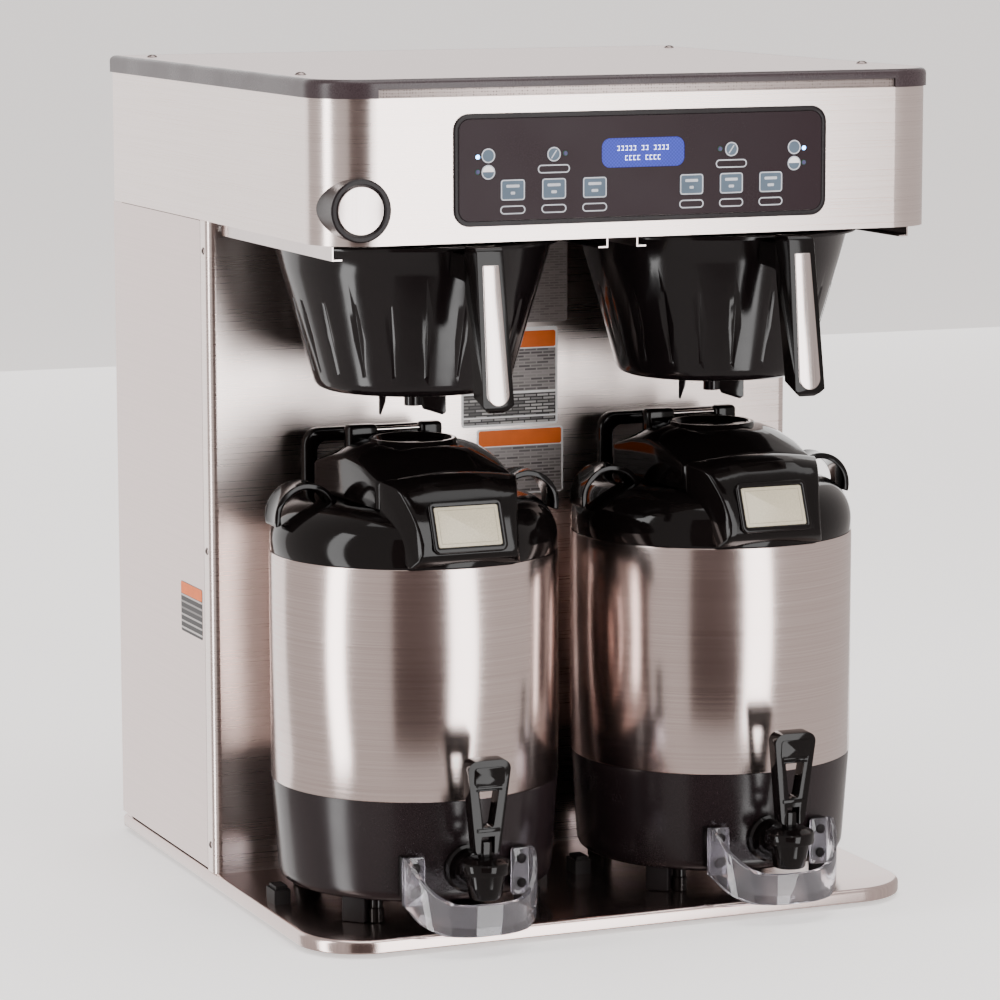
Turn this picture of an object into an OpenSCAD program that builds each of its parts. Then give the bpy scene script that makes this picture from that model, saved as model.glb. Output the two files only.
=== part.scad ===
// Twin commercial coffee brewer: a sheet-metal tower with an overhanging control
// hood, two slide-in brew funnels and two insulated servers standing on the deck.
// Frame: +X to the right seen from the front, -Y to the front, +Z up, origin on the
// counter under the middle of the machine. Millimetres.

/* [Cabinet] */
// Width of the control hood
hood_w = 530; // [524:1:532]
// Depth of the control hood, front to back
hood_d = 537; // [530:1:540]
// Height of the hood's side wall
hood_h = 112.5; // [112:0.5:116]
// Radius of the hood's two front corners
hood_corner_r = 43; // [38:1:48]
// Height of the hood's underside over the counter
hood_z = 565; // [560:1:570]
// Height of the top cover over the hood wall
cover_h = 14.5; // [13:0.5:16]
// Depth of the tower behind the servers
tower_d = 257.7; // [250:0.1:260]
// Thickness of the cabinet's sheet metal
sheet = 1.2; // [1:0.1:1.5]
// Height of the deck that the servers stand on
deck_h = 15; // [15:0.5:15]
// Radius of the deck's two front corners
deck_corner_r = 54; // [48:1:58]
// How far the deck's front edge lies behind the hood's
deck_setback = 21; // [18:1:24]

/* [Servers] */
// Distance between the two servers' centre lines
server_pitch = 268; // [266:1:268]
// Outer radius of the steel body
server_r = 118; // [118:0.5:118]
// Distance from the middle of the machine forward to the servers' axes
server_forward = 100.4; // [99:0.1:102]
// Lower edge of the steel body over the counter
steel_z0 = 117.5; // [112:0.5:120]
// Upper edge of the steel body over the counter
steel_z1 = 304.5; // [304.5:0.5:304.5]
// Level of the flat ring around the lid
ledge_z = 348; // [348:0.5:348]
// Top of the lid's inlet ring
inlet_z = 395; // [394:0.5:396]
// Height of the faucet handle's pivot
faucet_pivot_z = 88; // [88:0.5:88]

/* [Funnels] */
// Radius of the funnel's mouth
funnel_top_r = 112.5; // [111:0.5:112.5]
// Radius at the foot of the funnel's wall
funnel_low_r = 81; // [78:0.5:84]
// Underside of the funnel's flange
flange_z = 555.3; // [555.3:0.1:555.3]
// Tip of the funnel's nozzle
nozzle_z = 421; // [420:0.5:423]

/* [Controls] */
// Width of the control panel over its trim
panel_w = 319.4; // [316:0.1:322]
// Height of the control panel over its trim
panel_h = 87; // [86:0.1:89]
// Distance from a column of keys to the next
key_pitch = 34.6; // [34:0.1:35]
// Distance from the machine's middle to each group's middle column
key_group_x = 76.2; // [75.5:0.1:77]
// Width of a brew key
brew_key_w = 20; // [18:0.5:21]
// Height of a brew key
brew_key_h = 16; // [14:0.5:17]
// Radius of a round key
round_key_r = 5.6; // [5:0.1:5.8]

/* [Hidden] */
$fn = 96;

LEFT = -1;
RIGHT = 1;

// Cabinet planes
rear_y = 282.5;
front_y = rear_y - hood_d;
tower_y = rear_y - tower_d;
deck_y = front_y + deck_setback;
deck_w = hood_w + 2.8;
tower_w = hood_w + 1.6;
seam_y = tower_y + 18.2;
hood_top = hood_z + hood_h;
cover_top = hood_top + cover_h;
cover_lap = 2;
cover_rear_lap = 1.5;
vent_h = 7.1;
vent_half = 221;
back_y = 262;
plate_z = hood_z + sheet + 0.2;
plate_t = 1.6;
server_x = server_pitch / 2;
server_y = -server_forward;

// Control panel
panel_z = 620.9;
panel_r = 13;
bezel_w = 4.2;
overlay_face = front_y - 1.2;
overlay_t = 2;
key_gap = 0.4;
key_proud = 0.3;
brew_key_z = 605;
enable_z = 631.7;
full_key_z = 631.9;
half_key_z = 619.2;
batch_key_x = 131.3;
lcd_z = 631.3;
lcd_w = 71;
lcd_h = 23;
lcd_r = 7;
lamp_r = 2;
lamp_spots = [[140, 631.1], [140, 619.6], [66.4, 632.2]];
board_y = front_y + 4.1;

// Funnel profile
flange_r = 119;
flange_t = 3.2;
wall = 2.6;
wall_foot_z = 446;
cone_r = 72;
cone_z = 436.3;
nozzle_r = 7;
nozzle_bore = 4.5;

// Funnel handle, measured from the funnel's axis
grip_low_z = 437;
grip_y = -182.7;
grip_lean = 0.15;
grip_top_z = 561.5;
inlay_t = 0.9;

// Server lid and visor
crown_r = 347;
crown_z = 385 - crown_r;
lid_front = -75;
lid_back = 69;
hinge_y = 80;
hinge_z = 352;
pin_r = 2;
mouth_r = 60.5;
faucet_y = -152.2;
guard_half = 56;
guard_front = -165.6;
guard_t = 3.6;

// ---------- Shared outlines ----------

// A convex outline, counter-clockwise, grown outwards by r with round corners.
module soft_poly(pts, r) {
    polygon(pts);
    for (i = [0 : len(pts) - 1]) {
        a = pts[i];
        b = pts[(i + 1) % len(pts)];
        out = [b.y - a.y, a.x - b.x] / norm(b - a) * r;
        translate(a) circle(r);
        polygon([a, a + out, b + out, b]);
    }
}

// A centred rectangle with round corners.
module round_rect(w, h, r) {
    square([w - 2 * r, h], center = true);
    square([w, h - 2 * r], center = true);
    for (sx = [-1, 1], sy = [-1, 1]) translate([sx * (w / 2 - r), sy * (h / 2 - r)]) circle(r);
}

// Plan outline with two round front corners and a square back.
module front_rounded(w, front, back, r) {
    translate([-w / 2 + r, front]) square([w - 2 * r, back - front]);
    translate([-w / 2, front + r]) square([w, back - front - r]);
    for (s = [-1, 1]) translate([s * (w / 2 - r), front + r]) circle(r);
}

// Stands a front-view outline, drawn in x and z, upright from y0 backwards.
module upright(y0, t) {
    translate([0, y0 + t, 0]) rotate([90, 0, 0]) linear_extrude(t) children();
}

// Extrudes a side-view outline, drawn in y and z, across the width w.
module across(w) {
    rotate([90, 0, 90]) translate([0, 0, -w / 2]) linear_extrude(w) children();
}

module at_server(side) {
    translate([side * server_x, server_y, 0]) children();
}

// ---------- Deck and tower ----------

module base_deck() color("silver") {
    rim_step = 1.5;
    difference() {
        union() {
            translate([0, 0, 1.5]) linear_extrude(deck_h - 1.5)
                front_rounded(deck_w - 2 * rim_step, deck_y + rim_step, rear_y, deck_corner_r - rim_step);
            translate([0, 0, 3.5]) linear_extrude(deck_h - 5.5)
                front_rounded(deck_w, deck_y, rear_y, deck_corner_r);
        }
        linear_extrude(deck_h - 1.5)
            front_rounded(deck_w - 10, deck_y + 5, rear_y - 5, deck_corner_r - 5);
    }
}

module deck_feet() color("dimgray") {
    for (x = [-215, 215], y = [deck_y + 45, rear_y - 40]) translate([x, y, 0]) {
        cylinder(h = 4, r1 = 15, r2 = 17);
        translate([0, 0, 4]) cylinder(h = deck_h - 5.5, r = 9);
    }
}

module server_guides() color("black") {
    guide = [14, 20, 15];
    for (side = [LEFT, RIGHT], s = [-1, 1])
        at_server(side) translate([s * 114 - guide.x / 2, 6, deck_h]) {
            cube(guide - [0, 0, 3]);
            translate([2, 2, 0]) cube(guide - [4, 4, 0]);
        }
}

module trunk_front() color("gainsboro") translate([0, 0, deck_h]) {
    corner = 7;
    linear_extrude(hood_z - deck_h) difference() {
        front_rounded(tower_w, tower_y, seam_y, corner);
        translate([0, sheet]) front_rounded(tower_w - 2 * sheet, tower_y, seam_y, corner - sheet);
    }
}

module side_panel(side) color("lightgray") {
    x0 = side > 0 ? tower_w / 2 - sheet : -tower_w / 2;
    translate([x0, seam_y + 0.6, deck_h + 2]) cube([sheet, rear_y - seam_y - 0.6, hood_z - deck_h - 2.4]);
}

module rear_panel() color("lightgray") {
    difference() {
        translate([-tower_w / 2 + sheet + 0.2, back_y, deck_h])
            cube([tower_w - 2 * sheet - 0.4, sheet, hood_z - deck_h]);
        for (i = [-6 : 6], z = [420, 480]) translate([i * 30 - 2.5, back_y - 1, z]) cube([5, 4, 44]);
        translate([-180, back_y - 1, 60]) rotate([-90, 0, 0]) cylinder(h = 4, r = 11);
        translate([190, back_y - 1, 70]) rotate([-90, 0, 0]) cylinder(h = 4, r = 12.2);
    }
    difference() {
        translate([-hood_w / 2 + sheet + 0.2, back_y, hood_z])
            cube([hood_w - 2 * sheet - 0.4, sheet, hood_h]);
        for (i = [-5 : 5]) translate([i * 36 - 2.5, back_y - 1, hood_z + 30]) cube([5, 4, 50]);
    }
}

// ---------- Hood ----------

// Outline of the control panel, drawn in from its edge, in x and z.
module panel_outline(inset) {
    translate([0, panel_z]) round_rect(panel_w - 2 * inset, panel_h - 2 * inset, panel_r - inset);
}

module hood_shell() color("gainsboro") difference() {
    translate([0, 0, hood_z]) {
        linear_extrude(hood_h) difference() {
            front_rounded(hood_w, front_y, rear_y, hood_corner_r);
            translate([0, sheet])
                front_rounded(hood_w - 2 * sheet, front_y, rear_y, hood_corner_r - sheet);
        }
        linear_extrude(sheet) difference() {
            front_rounded(hood_w, front_y, tower_y, hood_corner_r);
            translate([0, 9]) front_rounded(hood_w - 18, front_y, tower_y, hood_corner_r - 9);
        }
    }
    upright(front_y - 1, 4) panel_outline(bezel_w);
}

module hood_underside() color("darkgray") difference() {
    translate([0, 0, plate_z]) linear_extrude(plate_t)
        front_rounded(hood_w - 2 * sheet - 0.6, front_y + sheet + 0.3, tower_y - 1, hood_corner_r - sheet);
    for (side = [LEFT, RIGHT]) at_server(side) translate([0, 0, plate_z - 1]) cylinder(h = plate_t + 2, r = 8);
}

module top_cover() color("silver") {
    skin = 1.5;
    difference() {
        union() {
            translate([0, 0, hood_top]) linear_extrude(cover_h) cover_plan(1.5);
            translate([0, 0, hood_top]) linear_extrude(cover_h - 2) cover_plan(0);
        }
        translate([0, 0, hood_top - 1]) linear_extrude(cover_h + 1 - skin) cover_plan(cover_lap + sheet);
        translate([-vent_half - 0.5, front_y - 10, hood_top - 1])
            cube([2 * vent_half + 1, 20, vent_h + 1]);
    }
}

module cover_plan(inset) {
    front_rounded(hood_w + 2 * (cover_lap - inset), front_y - cover_lap + inset,
        rear_y + cover_rear_lap - inset, hood_corner_r + cover_lap - inset);
}

module vent_strip() color("dimgray") difference() {
    pitch = 6.8;
    translate([-vent_half, front_y + 0.4, hood_top]) cube([2 * vent_half, sheet, vent_h]);
    for (i = [-32 : 32]) translate([i * pitch, front_y - 1, hood_top + vent_h / 2])
        rotate([0, 30, 0]) translate([-1.2, 0, -2]) cube([2.4, 5, 4]);
}

module pan_screw(r, h) {
    difference() {
        union() {
            cylinder(h = h * 0.6, r = r);
            cylinder(h = h, r = r * 0.7);
        }
        translate([0, 0, h * 0.5]) rotate(45) {
            translate([-r * 0.5, -r * 0.12, 0]) cube([r, r * 0.24, h]);
            translate([-r * 0.12, -r * 0.5, 0]) cube([r * 0.24, r, h]);
        }
    }
}

module cover_screws() color("dimgray") {
    for (x = [-246, 246], y = [-150, 228]) translate([x, y, cover_top]) pan_screw(4.6, 2.2);
    for (s = [LEFT, RIGHT], z = [38.5, 289, 540])
        translate([s * tower_w / 2, seam_y - 7, z]) rotate([0, s * 90, 0]) pan_screw(3.4, 1.1);
}

// ---------- Controls ----------

module brew_key_shape(grow) {
    round_rect(brew_key_w + 2 * grow, brew_key_h + 2 * grow, 2 + grow);
}

module round_key_shape(grow) {
    circle(round_key_r + grow);
}

// A key's cap and the flange that keeps it behind the overlay.
module key_body(x, z) {
    color("slategray") {
        upright(overlay_face - key_proud, overlay_t + key_proud + key_gap) translate([x, z]) children(0);
        upright(overlay_face + overlay_t + key_gap, 1) translate([x, z]) children(1);
    }
}

module brew_key(x) {
    key_body(x, brew_key_z) {
        brew_key_shape(0);
        brew_key_shape(1.2);
    }
}

module round_key(x, z) {
    key_body(x, z) {
        round_key_shape(0);
        round_key_shape(0.6);
    }
}

module control_bezel() color("black") upright(front_y - 1.6, 1.6) difference() {
    panel_outline(0);
    panel_outline(bezel_w);
}

module control_overlay() color([0.14, 0.13, 0.15]) upright(overlay_face, overlay_t) difference() {
    panel_outline(bezel_w + 0.1);
    translate([0, lcd_z]) round_rect(lcd_w, lcd_h, lcd_r);
    for (s = [LEFT, RIGHT]) {
        for (i = [-1 : 1]) translate([s * key_group_x + i * key_pitch, brew_key_z]) brew_key_shape(0.3);
        translate([s * key_group_x, enable_z]) round_key_shape(0.3);
        for (z = [full_key_z, half_key_z]) translate([s * batch_key_x, z]) round_key_shape(0.3);
        for (p = lamp_spots) translate([s * p.x, p.y]) circle(lamp_r + 0.2);
    }
}

module lcd_module() color("royalblue") {
    upright(overlay_face + 0.2, overlay_t - 0.2) translate([0, lcd_z])
        round_rect(lcd_w - 0.4, lcd_h - 0.4, lcd_r - 0.2);
    upright(overlay_face + overlay_t, 7) translate([0, lcd_z]) round_rect(lcd_w + 4, lcd_h + 5, 2);
}

module control_board() color("seagreen") {
    upright(board_y, 1.6) difference() {
        panel_outline(8);
        translate([0, lcd_z]) square([lcd_w + 6, lcd_h + 7], center = true);
    }
    for (s = [LEFT, RIGHT]) {
        for (p = lamp_spots)
            upright(overlay_face - 0.1, board_y - overlay_face + 0.1) translate([s * p.x, p.y]) circle(lamp_r);
        for (z = [panel_z - 31, panel_z + 31])
            upright(overlay_face + overlay_t, board_y - overlay_face - overlay_t)
                translate([s * (panel_w / 2 - 14), z]) circle(3);
        upright(board_y + 1.6, 12) translate([s * 95, panel_z - 12]) square([40, 24], center = true);
    }
}

module corner_badge() {
    badge = [-238, 593];
    badge_r = 24.4;
    face = front_y - 8;
    color("dimgray") difference() {
        upright(face, 50) translate(badge) circle(badge_r);
        upright(face - 1, 2.4) translate(badge) circle(badge_r - 5);
        translate([0, 0, hood_z]) linear_extrude(hood_h)
            front_rounded(hood_w, front_y, rear_y, hood_corner_r);
    }
    color("silver") upright(face + 0.5, 0.9) translate(badge) circle(badge_r - 5.4);
}

// ---------- Water system ----------

tank = [300, 160, 300];
tank_y = 70;
tank_z = 345;

module water_tank() color("lightsteelblue") {
    difference() {
        translate([0, tank_y + tank.y / 2, tank_z]) linear_extrude(tank.z) round_rect(tank.x, tank.y, 20);
        translate([0, tank_y + tank.y / 2, tank_z + 1.5]) linear_extrude(tank.z - 3)
            round_rect(tank.x - 3, tank.y - 3, 18.5);
    }
    for (s = [-1, 1]) translate([s * 110 - 12, tank_y + 40, deck_h]) cube([24, 80, tank_z - deck_h]);
}

module heating_elements() color("slategray") for (i = [-1 : 1]) {
    bend = 18;
    rod_top = tank_z + tank.z - 1.5;
    translate([i * 70, tank_y + tank.y / 2, 0]) {
        for (s = [-1, 1]) translate([s * bend, 0, 390]) cylinder(h = rod_top - 390, r = 4);
        translate([0, 0, 390]) difference() {
            rotate([90, 0, 0]) rotate_extrude() translate([bend, 0]) circle(4);
            translate([-60, -10, 0]) cube([120, 20, 60]);
        }
    }
}

module spray_units() for (side = [LEFT, RIGHT]) at_server(side) {
    color("silver") difference() {
        union() {
            translate([0, 0, 560]) cylinder(h = plate_z - 560, r = 20);
            translate([0, 0, plate_z]) cylinder(h = 34, r = 7.6);
        }
        for (a = [0 : 60 : 300]) rotate(a) translate([12, 0, 559]) cylinder(h = 4, r = 1.6);
    }
    color("white") translate([-16, -18, plate_z + 34]) cube([32, 36, 32]);
    color("white") translate([0, 18, 616]) rotate([-90, 0, 0]) cylinder(h = tank_y - 18 - server_y, r = 5);
}

module funnel_rails() color("silver") difference() {
    drop = plate_z - (flange_z - 1.5);
    for (side = [LEFT, RIGHT], s = [-1, 1]) at_server(side) {
        front = side * s > 0 && side < 0 ? -143.5 : -115.5;
        translate([0, front, flange_z - 1.5]) {
            translate([s > 0 ? 120.4 : -121.6, 0, 0]) cube([sheet, 118.5 - front, drop]);
            translate([s > 0 ? 113.4 : -121.6, 0, 0]) cube([8.2, 118.5 - front, sheet]);
        }
    }
    for (s = [LEFT, RIGHT]) translate([s * (hood_w / 2 - 10) - 8, front_y, hood_z - 0.2]) cube([16, 43, 10]);
}

module inlet_valve() color("goldenrod") translate([-180, 0, 60]) {
    translate([-18, 205, -20]) cube([36, 40, 40]);
    translate([0, 245, 0]) rotate([-90, 0, 0]) cylinder(h = back_y - 245, r = 14);
    translate([0, back_y, 0]) rotate([-90, 0, 0]) cylinder(h = 4, r = 10.8);
    translate([0, back_y + 4, 0]) rotate([-90, 0, 0]) difference() {
        cylinder(h = 16, r = 6.6);
        translate([0, 0, 2]) cylinder(h = 20, r = 4);
    }
}

module cord_gland() color("black") translate([190, 0, 70]) rotate([-90, 0, 0]) difference() {
    union() {
        translate([0, 0, back_y - 8]) cylinder(h = 20, r = 12);
        translate([0, 0, back_y + sheet]) cylinder(h = 6, r = 16);
        translate([0, 0, back_y - 6]) cylinder(h = 6, r = 16);
    }
    translate([0, 0, back_y - 10]) cylinder(h = 30, r = 5);
}

module info_labels() {
    skin = 0.4;
    color([0.55, 0.54, 0.53]) upright(tower_y - skin, skin) translate([8, 506]) round_rect(98, 72, 3);
    color([0.2, 0.2, 0.2]) upright(tower_y - skin, skin) translate([3.4, 424]) round_rect(89, 84, 3);
    color("darkorange") upright(tower_y - skin, skin) translate([13, 351.5]) round_rect(80, 57, 3);
    color("darkorange") translate([-tower_w / 2 - skin, 50, 211]) cube([skin, 56, 43]);
}

// ---------- Funnels ----------

module funnel_shell(side) color([0.16, 0.15, 0.16]) at_server(side) {
    rise = flange_z + flange_t;
    rotate_extrude() difference() {
        polygon([[0, cone_z - 6], [cone_r, cone_z], [funnel_low_r - 2.6, wall_foot_z - 6],
            [funnel_low_r, wall_foot_z], [funnel_top_r, flange_z], [flange_r, flange_z],
            [flange_r, rise], [0, rise]]);
        polygon([[0, cone_z - 3.4], [cone_r - 3, cone_z + 2.6], [funnel_low_r - wall - 1.6, wall_foot_z - 2.6],
            [funnel_low_r - wall, wall_foot_z + 1], [funnel_top_r - wall, rise + 1], [0, rise + 1]]);
        square([nozzle_bore, rise]);
    }
    difference() {
        translate([0, 0, nozzle_z]) cylinder(h = cone_z - 4 - nozzle_z, r = nozzle_r);
        translate([0, 0, nozzle_z - 1]) cylinder(h = 20, r = nozzle_bore);
    }
    rotate(-20) upright(-1.2, 2.4) polygon([[6, 423], [8, 418], [24, 413], [27, 415], [27, 433], [6, 432]]);
    rotate(160) upright(-1.2, 2.4) polygon([[21, 432.2], [22, 424], [26, 413], [27.5, 414], [27.5, 433]]);
}

function grip_front(z) = grip_y + (z - grip_low_z) * grip_lean;

// The grip's front view: a half-round foot under sides that draw together upwards.
module grip_outline(foot_r, foot_z, top_half, top_z) {
    polygon(concat([for (i = [0 : 16]) [-foot_r * cos(180 * i / 16), foot_z - foot_r * sin(180 * i / 16)]],
        [[top_half, top_z], [-top_half, top_z]]));
}

module funnel_handle(side) color([0.16, 0.15, 0.16]) at_server(side) difference() {
    intersection() {
        across(60) polygon([[grip_front(grip_top_z) + 2, grip_top_z], [grip_front(559), 559],
            [grip_front(441), 441], [-181, 437.5], [-178, 435], [-174, 434.5], [-169, 436.5], [-163, 446],
            [-158, 470], [-148, 526], [-138, 533], [-90, 536], [-90, 554.8],
            [-140, 554.8], [-140, grip_top_z]]);
        upright(-200, 120) grip_outline(13.5, 448, 11.2, 570);
    }
    translate([0, 0, wall_foot_z])
        cylinder(h = flange_z - wall_foot_z, r1 = funnel_low_r + 0.05, r2 = funnel_top_r + 0.05);
}

module funnel_inlay(side) color("silver") at_server(side) intersection() {
    across(60) polygon([[grip_front(551), 551], [grip_front(551) - inlay_t, 551],
        [grip_front(441) - inlay_t, 441], [grip_front(441), 441]]);
    upright(-200, 60) grip_outline(9.4, 450, 6.6, 560);
}

// ---------- Servers ----------

module steel_body(side) color("silver") at_server(side) translate([0, 0, steel_z0]) difference() {
    cylinder(h = steel_z1 - steel_z0, r = server_r);
    translate([0, 0, -1]) cylinder(h = steel_z1 - steel_z0 + 2, r = server_r - 1.2);
}

module base_skirt(side) color([0.2, 0.19, 0.2]) at_server(side) difference() {
    union() {
        rotate_extrude() polygon([[0, 34], [106, 34], [110.5, 36.5], [112.5, 42], [server_r, steel_z0 - 0.2],
            [server_r - 1.5, steel_z0 - 0.2], [server_r - 1.5, steel_z0 + 9], [server_r - 4, steel_z0 + 9],
            [109.5, 43], [105, 37], [0, 37]]);
        for (a = [45 : 90 : 315]) rotate(a) translate([94, -17, deck_h + 0.3]) cube([15, 34, 21]);
        translate([0, -106, 60]) rotate([90, 0, 0]) cylinder(h = 19, r = 14);
        for (s = [-1, 1]) translate([s * 47 - 7, -114, 40]) cube([14, 14, 34]);
    }
    for (s = [-1, 1], z = [46, 66]) translate([s * 47, -105, z]) rotate([90, 0, 0]) cylinder(h = 12, r = 2.1);
}

module liner(side) color("lightgray") at_server(side) rotate_extrude() polygon([[0, 58], [92, 58],
    [100, 66], [100, 292], [64, 329.5], [58, 329.5], [57, 327.5], [98, 291], [98, 67], [91, 60], [0, 60]]);

// Half-outline of the shoulder, an ellipse quarter between the wall and the ledge.
function shoulder(r_mid, r_arc, z_mid, z_arc, n) =
    [for (i = [0 : n]) [r_mid + r_arc * cos(90 * i / n), z_mid + z_arc * sin(90 * i / n)]];

module collar_ring() rotate_extrude() polygon(concat(
    [[server_r - 3.4, steel_z1 - 9], [server_r - 1.4, steel_z1 - 9], [server_r - 1.4, steel_z1 + 0.2],
        [server_r - 0.4, steel_z1 + 0.2]],
    shoulder(85, server_r - 85.4, ledge_z - 34, 34, 14),
    [[mouth_r, ledge_z], [mouth_r, ledge_z - 18], [mouth_r + 3, ledge_z - 18], [mouth_r + 3, ledge_z - 3]],
    [for (i = [14 : -1 : 0]) shoulder(85, server_r - 88.4, ledge_z - 34, 31, 14)[i]]));

// The middle of the shoulder's wall and all that it covers.
module dome_core() rotate_extrude() polygon(concat([[0, 280], [server_r - 2, 280]],
    shoulder(85, server_r - 87, ledge_z - 34, 32.5, 14), [[0, ledge_z - 1.5]]));

module ear() {
    arc = [96, 336];
    translate([0, 13, 0]) rotate([90, 0, 0]) linear_extrude(26) difference() {
        translate(arc) circle(28);
        translate(arc) circle(22.5);
        polygon([arc, arc + [-22, 12.2], [40, 300], [60, 280], [116, 280], [116.5, 331]]);
    }
}

module visor() difference() {
    intersection() {
        translate([0, 0, 300]) linear_extrude(90)
            soft_poly([[-36, -121], [36, -121], [55, -80], [-55, -80]], 4);
        across(140) polygon([[lid_front - 0.8, 306], [-112, 306], [-120, 312], [-123.5, 318], [-122, 325],
            [-117, 339], [-110, 352], [-100, 362], [-88, 370], [lid_front - 0.8, 385]]);
        translate([0, 0, crown_z]) sphere(crown_r);
    }
    dome_core();
}

// Places children in the display's plane, with local +z pointing out of it.
module display_plane() {
    translate([0, -117.4, 338]) rotate([68, 0, 0]) children();
}

module rear_handle() difference() {
    upright(88, 10) difference() {
        soft_poly([[-54, 320], [54, 320], [54, 386], [-54, 386]], 8);
        translate([0, 366]) round_rect(104, 36, 8);
        translate([-70, 300]) square([140, 26]);
    }
    dome_core();
}

module collar(side) color([0.14, 0.13, 0.14]) at_server(side) {
    difference() {
        union() {
            collar_ring();
            visor();
            display_plane() translate([0, 0, -4]) linear_extrude(6.4) round_rect(63, 42, 5);
        }
        display_plane() translate([0, 0, -0.4]) linear_extrude(6) round_rect(54.4, 32.4, 2);
    }
    for (a = [0, 180]) rotate(a) ear();
    rear_handle();
    for (s = [-1, 1]) translate([s * 33 - 2, hinge_y - 3, ledge_z - 1]) cube([4, 6, 8]);
    translate([-33, hinge_y, hinge_z]) rotate([0, 90, 0]) cylinder(h = 66, r = pin_r);
}

module lid_plan(r) {
    soft_poly([[-49, lid_front + 9], [49, lid_front + 9], [58, lid_back - 9], [-58, lid_back - 9]], r);
}

module server_lid(side) color([0.12, 0.11, 0.12]) at_server(side) difference() {
    union() {
        intersection() {
            translate([0, 0, ledge_z + 0.6]) linear_extrude(60) lid_plan(9);
            translate([0, 0, crown_z]) sphere(crown_r);
        }
        translate([0, 0, 376]) cylinder(h = inlet_z - 376, r1 = 47, r2 = 33.5);
        translate([0, 0, ledge_z - 12]) cylinder(h = 44, r = 52);
        translate([-29, lid_back - 4, hinge_z - 3]) cube([58, hinge_y - lid_back + 4, 6]);
        translate([-29, hinge_y, hinge_z]) rotate([0, 90, 0]) cylinder(h = 58, r = 3.2);
        for (lug = [[-43, 26], [21, 19]]) translate([lug[0] + lug[1] / 2, 0, 0])
            across(lug[1]) polygon([[34, 370], [47, 370], [47, 398], [44, 402], [37, 402], [34, 398]]);
        translate([-18, 40.5, 397]) rotate([0, 90, 0]) cylinder(h = 40, r = 2);
    }
    translate([0, 0, ledge_z - 1]) linear_extrude(19) difference() {
        lid_plan(6);
        circle(52);
    }
    translate([0, 0, ledge_z - 13]) cylinder(h = 44, r = 49.5);
    translate([0, 0, inlet_z - 6]) cylinder(h = 10, r1 = 28, r2 = 31);
    translate([0, 0, 370]) cylinder(h = 40, r = 6.5);
    translate([-40, hinge_y, hinge_z]) rotate([0, 90, 0]) cylinder(h = 80, r = pin_r + 0.05);
}

module display(side) color("beige") at_server(side) display_plane()
    translate([0, 0, -0.4]) linear_extrude(2) round_rect(54, 32, 2);

module faucet_body(side) color([0.15, 0.14, 0.15]) at_server(side) difference() {
    union() {
        translate([0, -125, 60]) rotate([90, 0, 0]) cylinder(h = 24, r = 9);
        translate([0, faucet_y, 46]) cylinder(h = 20, r1 = 13, r2 = 17);
        translate([0, faucet_y, 66]) cylinder(h = 10, r = 20.5);
        translate([0, faucet_y, 76]) cylinder(h = 3, r1 = 19, r2 = 12);
        translate([-5, faucet_y - 5, 76]) cube([10, 10, 14]);
        translate([-5, faucet_y, faucet_pivot_z]) rotate([0, 90, 0]) cylinder(h = 10, r = 5);
        translate([-10, faucet_y, faucet_pivot_z]) rotate([0, 90, 0]) cylinder(h = 20, r = pin_r);
    }
    translate([0, faucet_y, 40]) cylinder(h = 22, r = 6);
}

module faucet_handle(side) color([0.12, 0.11, 0.12]) at_server(side)
    translate([0, faucet_y, faucet_pivot_z]) rotate([3, 0, 0]) difference() {
        upright(-6.5, 13) difference() {
            soft_poly([[-6, -2], [6, -2], [11, 63], [-11, 63]], 8);
            polygon([[-5, 16], [5, 16], [8.5, 49], [-8.5, 49]]);
            translate([-5.4, -20]) square([10.8, 29]);
            translate([-20, -20]) square([40, 14.5]);
        }
        translate([-20, 0, 0]) rotate([0, 90, 0]) cylinder(h = 40, r = pin_r + 0.05);
    }

module guard_plan(inset) {
    half = guard_half - inset;
    r = 50 - inset;
    translate([-half, guard_front + inset + r]) square([2 * half, 60]);
    translate([-half + r, guard_front + inset]) square([2 * (half - r), 60]);
    for (s = [-1, 1]) translate([s * (half - r), guard_front + inset + r]) circle(r);
}

module splash_guard(side) at_server(side) {
    flange_y = -114.2;
    color("lavender") {
        intersection() {
            linear_extrude(80) difference() {
                guard_plan(0);
                guard_plan(guard_t);
            }
            across(140) polygon([[flange_y, 75], [-122, 75], [-150, 50], [-158, 43.5], [guard_front - 1, 42],
                [guard_front - 1, 17.5], [-156, 18.5], [-124, 34], [flange_y, 36]]);
        }
        for (s = [-1, 1]) upright(flange_y - guard_t, guard_t) difference() {
            translate([s * 46.5, 55.5]) square([18, 39], center = true);
            for (z = [46, 66]) translate([s * 47, z]) circle(2.3);
        }
    }
    color("gray") for (s = [-1, 1], z = [46, 66]) translate([s * 47, flange_y - guard_t, z])
        rotate([90, 0, 0]) {
            pan_screw(4, 2.4);
            translate([0, 0, -9]) cylinder(h = 9.1, r = 1.9);
        }
}

// ---------- Nodes ----------

base_deck();
deck_feet();
server_guides();
trunk_front();
side_panel(LEFT);  // side_panel_left
side_panel(RIGHT);  // side_panel_right
rear_panel();
hood_shell();
hood_underside();
top_cover();
vent_strip();
cover_screws();
control_bezel();
control_overlay();
lcd_module();
control_board();
corner_badge();
water_tank();
heating_elements();
spray_units();
funnel_rails();
inlet_valve();
cord_gland();
info_labels();
brew_key(-key_group_x - key_pitch);  // brew_key_left_1
brew_key(-key_group_x);  // brew_key_left_2
brew_key(-key_group_x + key_pitch);  // brew_key_left_3
round_key(-key_group_x, enable_z);  // enable_key_left
round_key(-batch_key_x, full_key_z);  // full_batch_key_left
round_key(-batch_key_x, half_key_z);  // half_batch_key_left
brew_key(key_group_x - key_pitch);  // brew_key_right_1
brew_key(key_group_x);  // brew_key_right_2
brew_key(key_group_x + key_pitch);  // brew_key_right_3
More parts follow.
